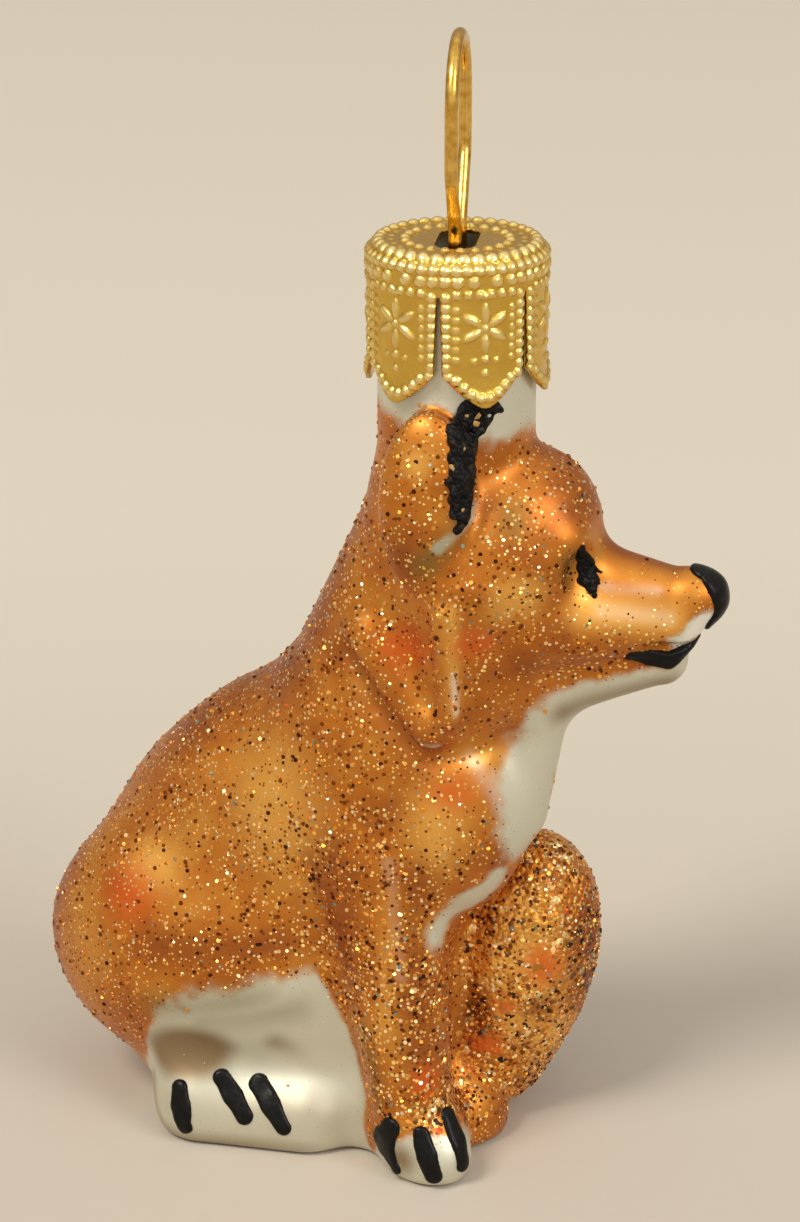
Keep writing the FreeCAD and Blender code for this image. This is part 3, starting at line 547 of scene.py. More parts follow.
# %% A helper for nodes
def feed(node, inputs):
    """Gives each input a value, an output of another node, or that node's first output in use."""
    for name, value in inputs.items():
        if isinstance(value, bpy.types.Node):
            value = next(output for output in value.outputs if output.enabled)
        if isinstance(value, bpy.types.NodeSocket):
            node.id_data.links.new(value, node.inputs[name])
        else:
            node.inputs[name].default_value = value


def add_node(tree, kind, inputs=None, stops=(), **settings):
    """A shader node with its settings, its inputs and the stops of its colour ramp."""
    node = tree.nodes.new("ShaderNode" + kind)
    for name, value in settings.items():
        setattr(node, name, value)
    feed(node, inputs or {})
    for index, (place, code) in enumerate(stops):
        element = node.color_ramp.elements[index] if index < 2 else node.color_ramp.elements.new(place)
        element.position, element.color = place, colour(code)
    return node


def new_material(name):
    """A material, its shader, the place on the object, and the helper bound to the material's tree."""
    material = bpy.data.materials.new(name)
    material.use_nodes = True
    tree = material.node_tree
    add = partial(add_node, tree)
    return material, tree.nodes["Principled BSDF"], add("TexCoord").outputs["Object"], add


print("helpers ready")

# %% Lacquered glass
# The second colour is painted shade on the bare silver, and the last is painted shade on the crust; white
# serves the pale lip and pale painted highlights.
silver_colour, silver_shade_colour, white_colour, crust_shade_colour = "#D4D2BD", "#8F7857", "#F2EFE4", "#24160D"
lacquer_colours = [(0.32, "#A95C18"), (0.68, "#D08C34"), (0.5, "#C3741F")]
# Gold is painted highlight on the body and head, and deep is painted shade; red and olive tint the lacquer,
# but the olive beside the eyes is painted shade.
tints_and_painted_light = {
    "gold": ("#EEB252", 0.85), "deep": ("#8E4616", 0.75), "red": ("#E25A18", 0.7), "olive": ("#776A30", 0.7),
}
mottle_size, speckle_size, drift_size = 5.0, 0.9, 4.0
grain_pitch, crust_pitch = 0.3, 0.4
grain_rise, crust_rise = 0.06, 0.25
flake_colours = [
    (0.0, "#FFCF74"), (0.42, "#FFE6B4"), (0.58, "#E79A3C"),
    (0.66, "#8A4C1C"), (0.88, "#4A2812"), (0.98, "#8FA596"),
]
crust_colours = [
    (0.0, "#E0A044"), (0.34, "#FFD994"), (0.5, "#B87428"),
    (0.76, "#7A4A1C"), (0.92, "#2A1A10"), (0.97, "#E8622A"),
]


def lacquered_glass():
    """Satin orange over silver, pale and soft where it is bare, with glints of glitter all over."""
    material, shader, place, add = new_material("silvered_glass_orange_lacquer")
    share_of = {name: add("Attribute", attribute_name=name).outputs["Fac"] for name in fox_layers}
    # The lacquer: mottled orange under the red and olive tints, the painted highlights and the painted shade.
    # Inputs 6 and 7 of a mix are its colours.
    mottle = add("TexNoise", {
        "Vector": place, "Scale": 1 / (mottle_size * mm), "Detail": 3.0, "Roughness": 0.6})
    tint = add("ValToRGB", {"Fac": mottle}, lacquer_colours)
    for name, (code, strength) in tints_and_painted_light.items():
        amount = add("Math", {0: share_of[name], 1: strength}, operation="MULTIPLY")
        tint = add("Mix", {0: amount, 6: tint, 7: colour(code)}, data_type="RGBA")
    # The bare silver, with painted shade and an olive tint over it, and its speckled edge.
    speckle = add("TexNoise", {"Vector": place, "Scale": 1 / (speckle_size * mm)})
    ragged = add("Math", {0: speckle, 1: 0.5, 2: -0.25}, operation="MULTIPLY_ADD")
    edge = add("Math", {0: share_of["bare"], 1: ragged}, use_clamp=True)
    edge = add("MapRange", {
        "Value": edge, "From Min": 0.15, "From Max": 0.85}, interpolation_type="SMOOTHSTEP")
    olive_share = add("Math", {0: share_of["olive"], 1: 0.55}, operation="MULTIPLY")
    silver = colour(silver_colour)
    for share, code in ((share_of["smoke"], silver_shade_colour), (olive_share, tints_and_painted_light["olive"][0])):
        silver = add("Mix", {0: share, 6: silver, 7: colour(code)}, data_type="RGBA")
    # The fine glitter: a cell holds a flake where the flake's reach covers the middle of the cell.
    grains = add("TexVoronoi", {"Vector": place, "Scale": 1 / (grain_pitch * mm)})
    chance = add("SeparateColor", {"Color": grains.outputs["Color"]})
    drift = add("TexNoise", {"Vector": place, "Scale": 1 / (drift_size * mm)})
    size = add("Math", {0: chance.outputs["Green"], 1: 0.5, 2: 0.2}, operation="MULTIPLY_ADD")
    size = add("Math", {0: size, 1: drift})
    reach = add("Math", {0: share_of["glitter"], 1: size}, operation="MULTIPLY")
    flake = add("Math", {0: grains, 1: reach}, operation="LESS_THAN")
    foil = add("ValToRGB", {"Fac": chance.outputs["Red"]}, flake_colours)
    # The crust of coarse grains on the tail and the paw.
    crumbs = add("TexVoronoi", {"Vector": place, "Scale": 1 / (crust_pitch * mm)})
    crumb_chance = add("SeparateColor", {"Color": crumbs.outputs["Color"]})
    crust = add("ValToRGB", {"Fac": crumb_chance.outputs["Red"]}, crust_colours)
    foil.color_ramp.interpolation = crust.color_ramp.interpolation = "CONSTANT"
    crust_share = add("Math", {0: share_of["crust"], 1: drift}, operation="MULTIPLY")
    on_crumb = add("Math", {0: crumb_chance.outputs["Blue"], 1: crust_share}, operation="LESS_THAN")
    # Painted shade darkens the crust where the deep layer lies.
    crust = add("Mix", {0: share_of["deep"], 6: crust, 7: colour(crust_shade_colour)}, data_type="RGBA")
    # One colour over another, from the lacquer up to the flakes.
    skin = tint
    # The white layer: the pale lip, and pale painted highlights elsewhere.
    white = (share_of["white"], colour(white_colour))
    for share, coat in ((edge, silver), white, (on_crumb, crust), (flake, foil)):
        skin = add("Mix", {0: share, 6: skin, 7: coat}, data_type="RGBA")
    # The relief of crumbs and flakes, and a tilt of its own for each flake.
    tilt = add("VectorMath", {0: grains.outputs["Color"], 1: (0.5, 0.5, 0.5)}, operation="SUBTRACT")
    tilt_size = add("Math", {0: flake, 1: 0.9}, operation="MULTIPLY")
    tilt = add("VectorMath", {0: tilt, "Scale": tilt_size}, operation="SCALE")
    hollow = add("Math", {0: crumbs, 1: share_of["crust"]}, operation="MULTIPLY")
    relief = add("Bump", {"Height": hollow, "Distance": crust_rise * mm, "Strength": 0.9}, invert=True)
    relief = add("Bump", {"Height": flake, "Distance": grain_rise * mm, "Strength": 0.6, "Normal": relief})
    facing = add("VectorMath", {0: relief, 1: tilt})
    facing = add("VectorMath", {0: facing}, operation="NORMALIZE")
    satin = add("MapRange", {"Value": edge, "To Min": 0.42, "To Max": 0.48})
    roughness = add("MapRange", {"Value": flake, "To Min": satin, "To Max": 0.25})
    mirror = add("MapRange", {"Value": edge, "To Min": 0.72, "To Max": 0.66})
    feed(shader, {
        "Base Color": skin, "Normal": facing, "Metallic": mirror, "Roughness": roughness,
        "Coat Weight": 0.08, "Coat Roughness": 0.35,
        "Sheen Weight": 0.1, "Sheen Roughness": 0.4, "Sheen Tint": colour("#E7A6B0")})
    return material


fox.data.materials.append(lacquered_glass())
print("material", fox.data.materials[0].name)

# %% [markdown]
# ## Larger flakes
# The larger flakes stand proud of the lacquer and catch the light one by one, so they are real little
# plates: six-sided, as glitter is cut, about a quarter of a millimetre across, and half sunk in the
# lacquer. They are strewn by chance, more of them where the glitter layer is dense, with a seed so that
# each run gives the same ones. The fine dust between them stays in the shader.

# %% Flakes
flake_count, flake_radius, flake_spread, flake_lift = 6500, 0.1, 0.055, 0.045
flakes_from, flakes_to = 1.2, 52
foil_colours = [
    (0.0, "#E9A64A"), (0.3, "#FFD591"), (0.46, "#D98A34"),
    (0.58, "#8A4C1C"), (0.84, "#4A2812"), (0.98, "#8FA596"),
]
strewing = np.random.default_rng(11)


def strewn(points, quads, density, count):
    """Places on the surface, with its direction there, taken by chance."""
    corners = points[quads]
    across = np.cross(corners[:, 2] - corners[:, 0], corners[:, 3] - corners[:, 1])
    area = np.linalg.norm(across, axis=1)
    weight = area * density[quads].mean(axis=1)
    picked = strewing.choice(len(quads), count, p=weight / weight.sum())
    u, v = strewing.random((2, count, 1))
    a, b, c, d = np.moveaxis(corners[picked], 1, 0)
    places = (a * (1 - u) + b * u) * (1 - v) + (d * (1 - u) + c * u) * v
    return places, across[picked] / area[picked][:, None]


def unit(vectors):
    return vectors / np.linalg.norm(vectors, axis=1)[:, None]


def flake_mesh(places, out):
    """Six-sided plates, each a little tilted, as corners and faces."""
    count = len(places)
    out = unit(out + 0.3 * strewing.normal(size=(count, 3)))
    first = unit(np.cross(out, strewing.normal(size=(count, 3))))
    second = np.cross(out, first)
    radius = flake_radius + flake_spread * strewing.random((count, 1))
    rings = []
    for lift in (-flake_lift, flake_lift):
        for side in range(6):
            angle = math.pi * side / 3
            spoke = first * math.cos(angle) + second * math.sin(angle)
            rings.append(places + radius * spoke + out * lift)
    corners = np.stack(rings, axis=1).reshape(-1, 3)
    plate = [(5, 4, 3, 2, 1, 0), (6, 7, 8, 9, 10, 11)]
    plate += [(side, (side + 1) % 6, (side + 1) % 6 + 6, side + 6) for side in range(6)]
    faces = [[12 * index + at for at in face] for index in range(count) for face in plate]
    return corners, faces


density = (fox_layers["glitter"] / plain_reach) ** 4 * np.clip(1 + 0.9 * lumps(*points.T, 4.0), 0.1, 2)
density = density * (1 - 0.65 * fox_layers["red"]) * (1 - 0.25 * fox_layers["gold"])
density = density * (points[:, 2] > flakes_from) * (points[:, 2] < flakes_to)
flake_corners, flake_faces = flake_mesh(*strewn(points, quads, density, flake_count))
flakes = add_mesh("foil_flakes", flake_corners, flake_faces, smooth=False)
store(flakes, "tone", np.repeat(strewing.random(flake_count), 12))
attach(flakes, "figurine")
print("flakes", flake_count)

# %% Foil
def cut_foil():
    """Hard flat glints, gold or dark, each flake with a tone of its own."""
    material, shader, place, add = new_material("cut_polyester_foil_glitter")
    tone = add("Attribute", attribute_name="tone").outputs["Fac"]
    foil = add("ValToRGB", {"Fac": tone}, foil_colours)
    foil.color_ramp.interpolation = "CONSTANT"
    wear = add("TexNoise", {"Vector": place, "Scale": 1 / (0.15 * mm)})
    rough = add("MapRange", {"Value": wear, "To Min": 0.15, "To Max": 0.45})
    feed(shader, {"Base Color": foil, "Roughness": rough, "Metallic": 1.0})
    return material


flakes.data.materials.append(cut_foil())
print("material", flakes.data.materials[0].name)

# %% [markdown]
# ## Raised paint
# The claws, nose, mouth, eyes and ear edges are thick paint, laid on by hand. A stroke is a chain of
# tapered rods along the skin. Only the thin layer just above the glass is kept of it, so the paint
# follows the glass as real paint does. The eyes and ears are gritty: their paint was dusted with
# glitter while wet, so lumps break up both its edge and its thickness.

# %% Strokes
paint_step, paint_edge, paint_sink, paint_foot = 0.1, 0.25, 0.08, 0.1
settle_rounds, settle_step, settle_share = 12, 0.01, 0.8


def from_head(place):
    return (*turned(place[0], place[1], -head_turn), place[2])


def settled(place):
    """The place on the glass nearest to a place beside it."""
    place = np.array(place, dtype=float)
    for _ in range(settle_rounds):
        here = float(outside(*place))
        slope = np.array([float(outside(*(place + step))) - here for step in np.eye(3) * settle_step])
        slope = slope / settle_step
        place = place - settle_share * here * slope / max(float(slope @ slope), 0.2)
    return place


def stroke(path, radii, rise, grit, grit_size):
    """Places and quads of one stroke of paint through places near the skin."""
    path = [settled(place) for place in path]
    reach = max(radii) + rise + grit + 0.3
    low = np.min(path, axis=0) - reach
    high = np.max(path, axis=0) + reach

    def distance(x, y, z):
        total = None
        for start, end, first, last in zip(path, path[1:], radii, radii[1:]):
            part = rod(x, y, z, start, end, first, last)
            total = part if total is None else np.minimum(total, part)
        lump = grit * lumps(x, y, z, grit_size)
        above = outside(x, y, z)
        total = carve(total - lump, rise * (1 - 0.5 * grit) + lump * 0.6 - above, paint_edge)
        total = np.maximum(total, -paint_sink - above)
        return np.maximum(total, paint_foot - z)

    return surface(distance, low, high, paint_step)


def add_paint(name, strokes, rise, grit, grit_size, node, slot, material):
    """One piece of paint: its strokes, how far it rises, its grit, and the node that it replaces."""
    corners, faces = [], []
    for path, radii in strokes:
        points, quads = stroke(path, radii, rise, grit, grit_size)
        faces += [[int(at) + len(corners) for at in quad] for quad in quads]
        corners += list(points)
    piece = add_mesh(name, corners, faces, material)
    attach(piece, "figurine")
    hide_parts(node)
    print(name, len(corners), "corners")
    return piece


hind_claws = [
    ([(-14.9, -9.8, 3.9), (-14.6, -10.0, 2.8), (-14.3, -10.1, 1.5)], (0.6, 0.78, 0.6)),
    ([(-12.5, -8.4, 4.7), (-11.5, -8.6, 3.7), (-10.5, -8.8, 2.6)], (0.6, 0.7, 0.62)),
    ([(-10.2, -7.5, 4.5), (-9.1, -7.8, 3.4), (-8.0, -8.0, 2.1)], (0.68, 0.72, 0.55)),
]
forepaw_claws = [
    ([(-0.6, -7.0, 3.7), (-1.3, -7.1, 2.4), (-0.3, -7.4, 0.9)], (0.75, 1.15, 0.5)),
    ([(1.5, -6.5, 3.6), (2.1, -6.8, 2.4), (2.6, -6.8, 1.1)], (0.6, 0.72, 0.6)),
    ([(2.4, -4.7, 4.4), (3.1, -5.0, 3.0), (3.8, -5.3, 1.6)], (0.6, 0.72, 0.55)),
]
mouth_half = [(11.4, -2.4, 35.3), (12.4, -2.2, 35.2), (13.6, -1.9, 35.1), (14.7, -1.3, 35.5), (15.2, 0, 36.0)]
mouth_path = mouth_half + [(x, -y, z) for x, y, z in mouth_half[-2::-1]]
mouth_radii = (0.4, 0.6, 0.6, 0.45, 0.35, 0.45, 0.6, 0.6, 0.4)
eye_strokes = [
    ([(8.3, -3.4, 42.6), (8.5, -3.0, 41.4), (8.8, -2.9, 40.4)], (0.3, 0.6, 0.65)),
    ([(8.8, -2.8, 40.6), (9.5, -2.6, 40.1)], (0.4, 0.12)),
    ([(8.7, -2.9, 40.4), (9.0, -2.9, 39.5)], (0.4, 0.12)),
    ([(8.7, -2.7, 41.3), (9.4, -2.5, 41.0)], (0.4, 0.15)),
]
ear_path = [
    (2.9, -3.9, 51.2), (2.1, -4.6, 51.3), (1.7, -5.6, 50.0),
    (1.6, -6.4, 47.6), (1.6, -6.7, 45.8), (1.5, -6.7, 44.9),
]
ear_radii = (0.5, 0.9, 1.2, 1.1, 0.85, 0.5)
nose_path, nose_radii = [(15.3, 0, 40.2), (15.7, 0, 39.2), (16.0, 0, 38.1)], (1.0, 1.85, 1.25)
print("strokes", len(hind_claws) + len(forepaw_claws) + 6)

# %% [markdown]
# ## Black enamel
# Enamel is a thick glossy paint. It dries with a smooth skin that shows bright small reflections and
# the faint streaks of the brush. The gritty kind is duller between its grains, and a few grains carry painted
# glints.

# %% Black paints
paint_shine = 0.16


def black_enamel():
    """Deep black with small bright reflections and the streaks of the brush."""
    material, shader, place, add = new_material("brushed_black_enamel")
    streaks = add("TexNoise", {"Vector": place, "Scale": 1 / (0.35 * mm)})
    relief = add("Bump", {"Height": streaks, "Distance": 0.05 * mm, "Strength": 0.5})
    shade = add("ValToRGB", {"Fac": streaks}, [(0.3, "#080706"), (0.8, "#171513")])
    feed(shader, {
        "Base Color": shade, "Normal": relief, "Roughness": 0.3, "Specular IOR Level": paint_shine})
    return material


def gritty_paint():
    """Dull rough black in which a few grains carry painted glints."""
    material, shader, place, add = new_material("glitter_dusted_black_paint")
    grains = add("TexVoronoi", {"Vector": place, "Scale": 1 / (0.3 * mm)})
    chance = add("SeparateColor", {"Color": grains.outputs["Color"]})
    shade = add("ValToRGB", {"Fac": chance.outputs["Red"]}, [
        (0.0, "#060505"), (0.75, "#120F0C"), (0.92, "#2C231A"), (0.975, "#B08A50")])
    shade.color_ramp.interpolation = "CONSTANT"
    relief = add("Bump", {"Height": grains, "Distance": 0.15 * mm, "Strength": 0.9}, invert=True)
    feed(shader, {
        "Base Color": shade, "Normal": relief, "Roughness": 0.45, "Specular IOR Level": paint_shine})
    return material


enamel, gritty = black_enamel(), gritty_paint()
print("paints", enamel.name, gritty.name)

# %% Paint on the fox
def on_head(path, side=-1):
    return [from_head((x, -y * side, z)) for x, y, z in path]


enamel_paints = {
    "hind_claws": (hind_claws, 0.22, 0.05, 0.6, "right_hind_claw_paint"),
    "forepaw_claws": (forepaw_claws, 0.22, 0.05, 0.6, "forepaw_claw_paint"),
    "nose_cap": ([(on_head(nose_path), nose_radii)], 0.2, 0.06, 0.7, "nose_paint"),
    "mouth_band": ([(on_head(mouth_path), mouth_radii)], 0.2, 0.06, 0.6, "mouth_paint"),
}
for name, sizes in enamel_paints.items():
    add_paint(name, *sizes, "black_enamel", enamel)
for name, side in (("right", -1), ("left", 1)):
    eye = [(on_head(path, side), radii) for path, radii in eye_strokes]
    ear = [(on_head(ear_path, side), ear_radii)]
    add_paint(name + "_eye", eye, 0.22, 0.18, 0.4, name + "_eye_paint", "gritty_black_paint", gritty)
    add_paint(name + "_ear_edge", ear, 0.4, 0.3, 0.5, name + "_ear_paint", "gritty_black_paint", gritty)

# %% [markdown]
# ## Crown cap
# The cap is thin brass sheet, stamped in a die: a round top with a slot, a soft shoulder, and a skirt cut
# into six petals. The die leaves rows of beads along every edge and a six-petalled flower on each petal.
# The beads are drawn on the flat first, as a height map of the unrolled skirt and of the top, which is
# how a die maker would draw them. The sheet is then the layer between two cups, pushed out by the map.

# %% Cap sizes
cap_top = neck_rim + 0.3
cap_radius, cap_sheet, cap_round, cap_flare = 5.4, 0.3, 0.9, 0.2
petal_tip, petal_point, petal_count, first_petal = cap_top - 9.0, 2.0, 6, 18.0
half_petal = cap_radius * math.pi / petal_count
slit_top, flower_up = cap_top - 2.3, cap_top - 4.1
loop_angle, slot_reach, slot_radius = 114.0, 1.4, 1.2
map_step, map_margin = 0.04, 0.5
top_rings = ((4.8, 0.42, 0.26, 36), (3.15, 0.32, 0.22, 22), (4.0, 0.24, 0.1, 26))


def bead_height(across, up, at_across, at_up, radius, rise):
    share = 1 - ((across - at_across) ** 2 + (up - at_up) ** 2) / radius ** 2
    return rise * np.sqrt(np.maximum(share, 0))


def spaced(line, pitch):
    """Even places along a line of corners."""
    line = np.array(line, dtype=float)
    lengths = np.concatenate([[0], np.cumsum(np.linalg.norm(np.diff(line, axis=0), axis=1))])
    count = max(round(lengths[-1] / pitch), 1)
    marks = (np.arange(count) + 0.5) * lengths[-1] / count
    return np.stack([np.interp(marks, lengths, line[:, axis]) for axis in range(2)], axis=1)


def petal_half_width(height):
    """Half the width of a petal at a height: full at the skirt, down to a point at the tip."""
    share = np.clip((height - petal_tip) / petal_point, 0, 1)
    slit = 0.07 + 0.16 * np.clip((slit_top - height) / 4, 0, 1)
    return np.where(height > slit_top, 9, (half_petal - slit) * share ** 0.72)


def petal_map():
    """Heights of the stamped pattern over half a petal's width each side, from tip to shoulder."""
    across = np.arange(-half_petal, half_petal + map_step, map_step)[:, None]
    up = np.arange(petal_tip - map_margin, cap_top + map_margin, map_step)[None, :]
    total = np.zeros((across.shape[0], up.shape[1]))
    edge = [(half_petal - 0.42, cap_top - 2.0), (half_petal - 0.46, petal_tip + petal_point)]
    edge += [(float(petal_half_width(petal_tip + h)) - 0.5, petal_tip + h + 0.12) for h in (1.6, 1.2, 0.8)]
    edge += [(0.0, petal_tip + 0.55)]
    places = [(a, u, 0.3, 0.2) for a, u in spaced(edge, 0.6)]
    places += [(half_petal - 1.05, cap_top - 3.0 - 0.6 * row, 0.24, 0.12) for row in range(6)]
    places += [(half_petal * share, cap_top - 0.62, 0.36, 0.22) for share in (0.125, 0.375, 0.625, 0.875)]
    places += [(half_petal * share, cap_top - 1.35, 0.38, 0.22) for share in (0.25, 0.6, 0.87)]
    places += [(a, cap_top - 2.1, 0.28, 0.18) for a in (0.35, 1.05, 1.75)]
    places += [(0, flower_up + 1.9, 0.22, 0.16), (0, flower_up - 1.9, 0.26, 0.18), (0, flower_up, 0.24, 0.2)]
    places += [(0.7, flower_up - 2.0, 0.2, 0.12), (0, flower_up - 2.75, 0.24, 0.16)]
    for a, u, radius, rise in places:
        for side in (-1, 1):
            total = np.maximum(total, bead_height(across, up, side * a, u, radius, rise))
    for index in range(6):
        along, aside = turned(across, up - flower_up, 30 + 60 * index)
        leaf = 1 - ((along - 0.9) / 0.66) ** 2 - (aside / 0.26) ** 2
        total = np.maximum(total, 0.18 * np.sqrt(np.maximum(leaf, 0)))
    return total


def top_map():
    """Heights of the pattern on the round top: a rim of beads and a ring of beads round the slot."""
    x = np.arange(-cap_radius - map_margin, cap_radius + map_margin, map_step)[:, None]
    y = x.T
    total = np.zeros((len(x), len(x)))
    for radius, size, rise, count in top_rings:
        for index in range(count):
            angle = 2 * math.pi * (index + 0.5) / count
            place = (radius * math.cos(angle), radius * math.sin(angle))
            total = np.maximum(total, bead_height(x, y, *place, size, rise))
    return total


def looked_up(table, first_row, first_column, row, column):
    """Values of a map between its cells."""
    row = np.clip((row - first_row) / map_step, 0, table.shape[0] - 1.001)
    column = np.clip((column - first_column) / map_step, 0, table.shape[1] - 1.001)
    r, c = row.astype(int), column.astype(int)
    fr, fc = row - r, column - c
    near = table[r, c] * (1 - fc) + table[r, c + 1] * fc
    return near * (1 - fr) + (table[r + 1, c] * (1 - fc) + table[r + 1, c + 1] * fc) * fr


petal_heights, top_heights = petal_map(), top_map()
print("maps", petal_heights.shape, top_heights.shape)

# %% Cap
def cup_distance(reach, z, radius, top, rounding):
    """Distance to a solid round cup, open below, with a rounded shoulder."""
    out, up = reach - (radius - rounding), z - (top - rounding)
    corner = np.sqrt(np.maximum(out, 0) ** 2 + np.maximum(up, 0) ** 2)
    return corner + np.minimum(np.maximum(out, up), 0) - rounding


def petal_across(x, y):
    """How far round the skirt a place is from the middle of its petal."""
    turn = np.arctan2(y, x) - math.radians(first_petal)
    pitch = 2 * math.pi / petal_count
    return (turn - pitch * np.round(turn / pitch)) * cap_radius


def stamped(x, y, z):
    """Height of the stamped pattern at a place near the sheet."""
    reach = np.sqrt(x * x + y * y)
    x, y, z, reach, across = np.broadcast_arrays(x, y, z, reach, petal_across(x, y))
    side = looked_up(petal_heights, -half_petal, petal_tip - map_margin, across, z)
    top = looked_up(top_heights, -cap_radius - map_margin, -cap_radius - map_margin, x, y)
    return np.where(z - cap_top > reach - cap_radius, top, side)


def cap_form(x, y, z):
    reach = np.sqrt(x * x + y * y)
    radius = cap_radius + cap_flare * np.clip((petal_tip + petal_point - z) / petal_point, 0, 1) ** 1.5
    outer = cup_distance(reach, z, radius, cap_top, cap_round) - stamped(x, y, z)
    inner = cup_distance(reach, z, radius - cap_sheet, cap_top - cap_sheet, cap_round - cap_sheet)
    sheet = np.maximum(outer, -inner)
    sheet = np.maximum(sheet, (np.abs(petal_across(x, y)) - petal_half_width(z)) * 0.8)
    along, aside = turned(x, y, loop_angle)
    slot = np.sqrt(np.maximum(np.abs(along) - slot_reach, 0) ** 2 + aside ** 2) - slot_radius
    return np.maximum(np.maximum(sheet, -slot), petal_tip - z)


cap_step = 0.1
points, quads = surface(cap_form, (-6.1, -6.1, petal_tip - 0.3), (6.1, 6.1, cap_top + 0.6), cap_step)
cap = add_mesh("crown_cap", points, quads)
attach(cap, "cap")
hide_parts("ornament_cap")
store(cap, "relief", stamped(*points.T))
print("cap", len(points), "corners")

# %% [markdown]
# ## Hanger
# The hanger is one piece of round brass wire. Its loop is almost as wide as the cap, its neck passes the
# slot, and its two legs spread inside the glass and hold by their spring. A round section is carried along
# the wire's middle line: straight runs joined by arcs, as a wire bender makes them.

# %% Hanger line
wire_radius = 0.4
hanger_half = [
    ((3.5, 42.8), 0), ((3.5, 50.3), 1.6), ((1.5, 56.9), 1.6),
    ((1.5, 61.3), 1.6), ((3.85, 65.1), 1.6), ((3.85, 72.6), 3.85),
]


def wire_line(corners, steps=14):
    """Places along straight runs and arcs, from corners with a bend radius each."""
    line = [corners[0][0]]
    for (before, _), (corner, radius), (after, _) in zip(corners, corners[1:], corners[2:]):
        back, ahead = (before - corner).normalized(), (after - corner).normalized()
        half = back.angle(ahead) / 2
        reach = radius / math.tan(half)
        start, end = corner + back * reach, corner + ahead * reach
        middle = corner + (back + ahead).normalized() * (radius / math.sin(half))
        sweep = math.pi - 2 * half
        first = start - middle
        for step in range(steps + 1):
            share = sweep * step / steps
            side = (end - middle - first * math.cos(sweep)) / math.sin(sweep)
            line.append(middle + first * math.cos(share) + side * math.sin(share))
    return line + [corners[-1][0]]


def hanger_line():
    other_half = [((-x, z), radius) for (x, z), radius in reversed(hanger_half)]
    return wire_line([(Vector(place), radius) for place, radius in hanger_half + other_half])


def tube(line, radius, sides):
    """A round tube round a line in the loop's plane, closed at both ends."""
    turn = math.radians(loop_angle)
    along = Vector((math.cos(turn), math.sin(turn), 0))
    aside = Vector((-math.sin(turn), math.cos(turn), 0))
    middles = [along * p.x + Vector((0, 0, p.y)) for p in line]
    corners, faces = [], []
    for index, middle in enumerate(middles):
        ahead = middles[min(index + 1, len(middles) - 1)] - middles[max(index - 1, 0)]
        out = aside.cross(ahead).normalized()
        for side in range(sides):
            angle = 2 * math.pi * side / sides
            corners.append(middle + (out * math.cos(angle) + aside * math.sin(angle)) * radius)
    for ring in range(0, (len(middles) - 1) * sides, sides):
        for side in range(sides):
            after = (side + 1) % sides
            faces.append((ring + side, ring + after, ring + sides + after, ring + sides + side))
    faces.append(tuple(range(sides))[::-1])
    faces.append(tuple((len(middles) - 1) * sides + side for side in range(sides)))
    return [tuple(corner) for corner in corners], faces


points, quads = tube(hanger_line(), wire_radius, 20)
hanger = add_mesh("wire_loop", points, quads)
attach(hanger, "hanger")
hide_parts("hanger_wire")
print("hanger", len(points), "corners")

# %% [markdown]
# ## Gold-coloured metal
# Both are brass with a thin gold-coloured lacquer. The cap's hollows are darker and its beads are rubbed
# bright. The wire is smoother, with a faint unevenness in its shine.

# %% Gold
def stamped_brass():
    """Warm gold, deeper in the hollows of the stamping and bright on its beads."""
    material, shader, place, add = new_material("stamped_gold_lacquered_brass")
    height = add("Attribute", attribute_name="relief").outputs["Fac"]
    height = add("MapRange", {"Value": height, "From Max": 0.2})
    shade = add("ValToRGB", {"Fac": height}, [(0.0, "#DDB651"), (1.0, "#F8E09A"), (0.3, "#ECCB6E")])
    patches = add("TexNoise", {"Vector": place, "Scale": 1 / (1.2 * mm), "Detail": 4.0})
    warm = add("MapRange", {"Value": patches, "From Min": 0.35, "From Max": 0.75, "To Max": 0.45})
    tone = add("Mix", {0: warm, 6: shade, 7: colour("#D0A043")}, data_type="RGBA")
    rough = add("MapRange", {"Value": patches, "To Min": 0.16, "To Max": 0.38})
    dents = add("Bump", {"Height": patches, "Distance": 0.2 * mm, "Strength": 0.7})
    feed(shader, {"Base Color": tone, "Roughness": rough, "Normal": dents, "Metallic": 1.0})
    return material


def drawn_brass():
    """A clear bright line along the wire, broken a little by handling."""
    material, shader, place, add = new_material("drawn_gold_lacquered_brass_wire")
    lines = add("TexNoise", {"Vector": place, "Scale": 1 / (0.5 * mm), "Detail": 3.0})
    shade = add("ValToRGB", {"Fac": lines}, [(0.3, "#C7953A"), (0.7, "#EBC368")])
    dents = add("Bump", {"Height": lines, "Distance": 0.03 * mm, "Strength": 0.5})
    feed(shader, {"Base Color": shade, "Normal": dents, "Roughness": 0.2, "Metallic": 1.0})
    return material


cap.data.materials.append(stamped_brass())
hanger.data.materials.append(drawn_brass())
print("metals", cap.data.materials[0].name, hanger.data.materials[0].name)

# %% [markdown]
# ## Stage
# A plain pale floor, and soft light from two large lamps and an even sky. Reflections see the sky at full
# strength and everything else sees two thirds of it, so the metals stay bright on a calm floor.

# %% Stage
floor_side = 4.0
lamp_aim = (0, 0, 0.03)
sky_direction = (0.25, -0.35, 0.9)


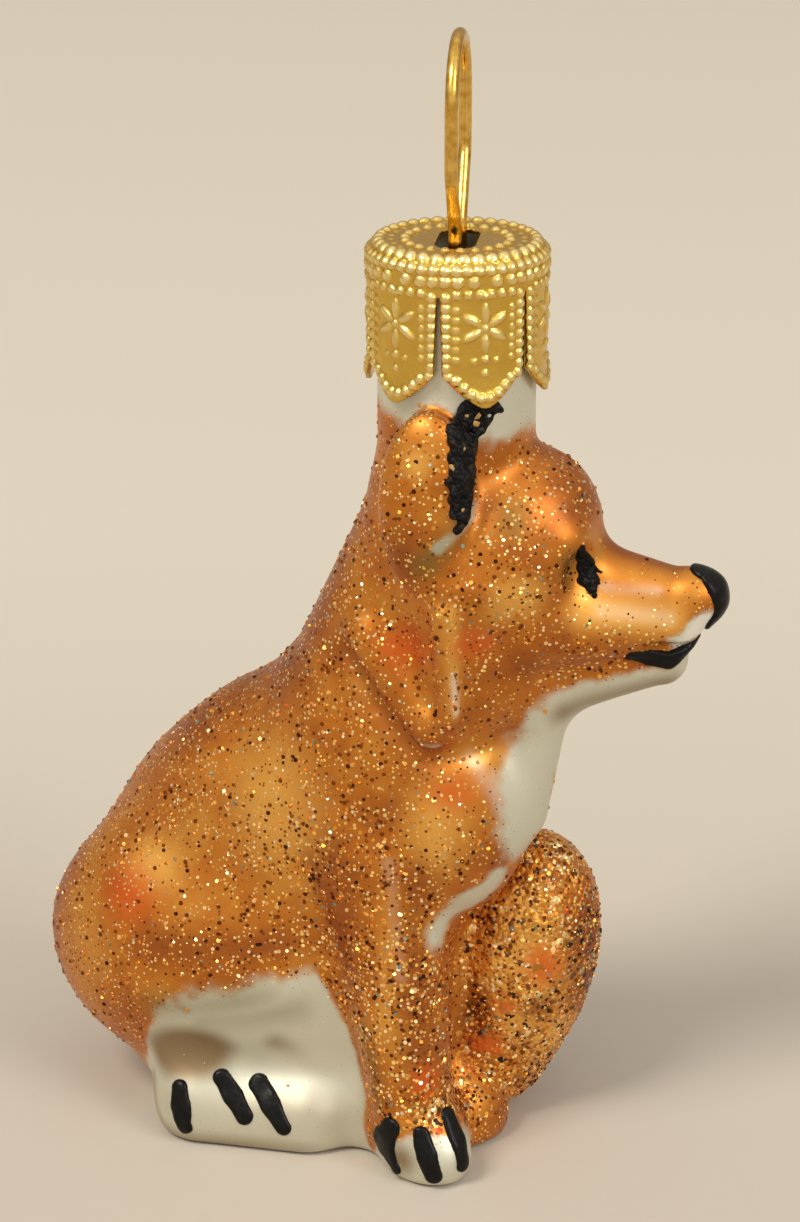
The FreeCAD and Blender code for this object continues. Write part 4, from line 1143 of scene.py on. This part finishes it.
def paper_floor():
    """Matt paper, with painted shade that darkens it a little towards the front."""
    material, shader, place, add = new_material("matt_paper_floor")
    depth = add("VectorMath", {0: place, 1: (0.5, -0.85, 0)}, operation="DOT_PRODUCT")
    tone = add("MapRange", {"Value": depth, "From Min": -0.12, "From Max": 0.05})
    paper = add("ValToRGB", {"Fac": tone}, [(0.0, "#D2CABA"), (1.0, "#BDB3A6")])
    feed(shader, {"Base Color": paper, "Roughness": 0.9})
    return material


def add_floor(material):
    data = bpy.data.meshes.new("floor")
    half = floor_side / 2
    corners = [(-half, -half, 0), (half, -half, 0), (half, half, 0), (-half, half, 0)]
    data.from_pydata(corners, [], [(0, 1, 2, 3)])
    data.materials.append(material)
    floor = bpy.data.objects.new("floor", data)
    scene.collection.objects.link(floor)


def add_lamp(name, place, side, power, tint=(1, 1, 1)):
    """A large round lamp that looks at the fox."""
    data = bpy.data.lights.new(name, "AREA")
    data.shape, data.size = "DISK", side
    data.energy, data.color = power, tint
    lamp = bpy.data.objects.new(name, data)
    lamp.location = place
    lamp.rotation_euler = (Vector(lamp_aim) - Vector(place)).to_track_quat("-Z", "Y").to_euler()
    scene.collection.objects.link(lamp)


def add_world():
    """Even soft light, and a paler sky above than at the sides for the metals to show."""
    world = bpy.data.worlds.new("studio")
    scene.world = world
    world.use_nodes = True
    add = partial(add_node, world.node_tree)
    way = add("TexCoord").outputs["Generated"]
    up = add("VectorMath", {0: way, 1: sky_direction}, operation="DOT_PRODUCT")
    sky = add("ValToRGB", {"Fac": up}, [(0.0, "#B0A391"), (0.75, "#FFFCF6"), (0.25, "#C9BEAE")])
    ray = add("LightPath").outputs
    clear = add("Math", {0: ray["Is Glossy Ray"], 1: ray["Is Transmission Ray"]}, operation="MAXIMUM")
    strength = add("MapRange", {"Value": clear, "To Min": 0.66, "To Max": 1.0})
    feed(world.node_tree.nodes["Background"], {"Color": sky, "Strength": strength})


add_floor(paper_floor())
add_lamp("key", (-0.36, -1.26, 1.65), 0.8, 26.0, (1, 0.95, 0.88))
add_lamp("fill", (1.5, -0.3, 1.05), 0.9, 12.0)
add_world()
scene.view_settings.view_transform = "Standard"
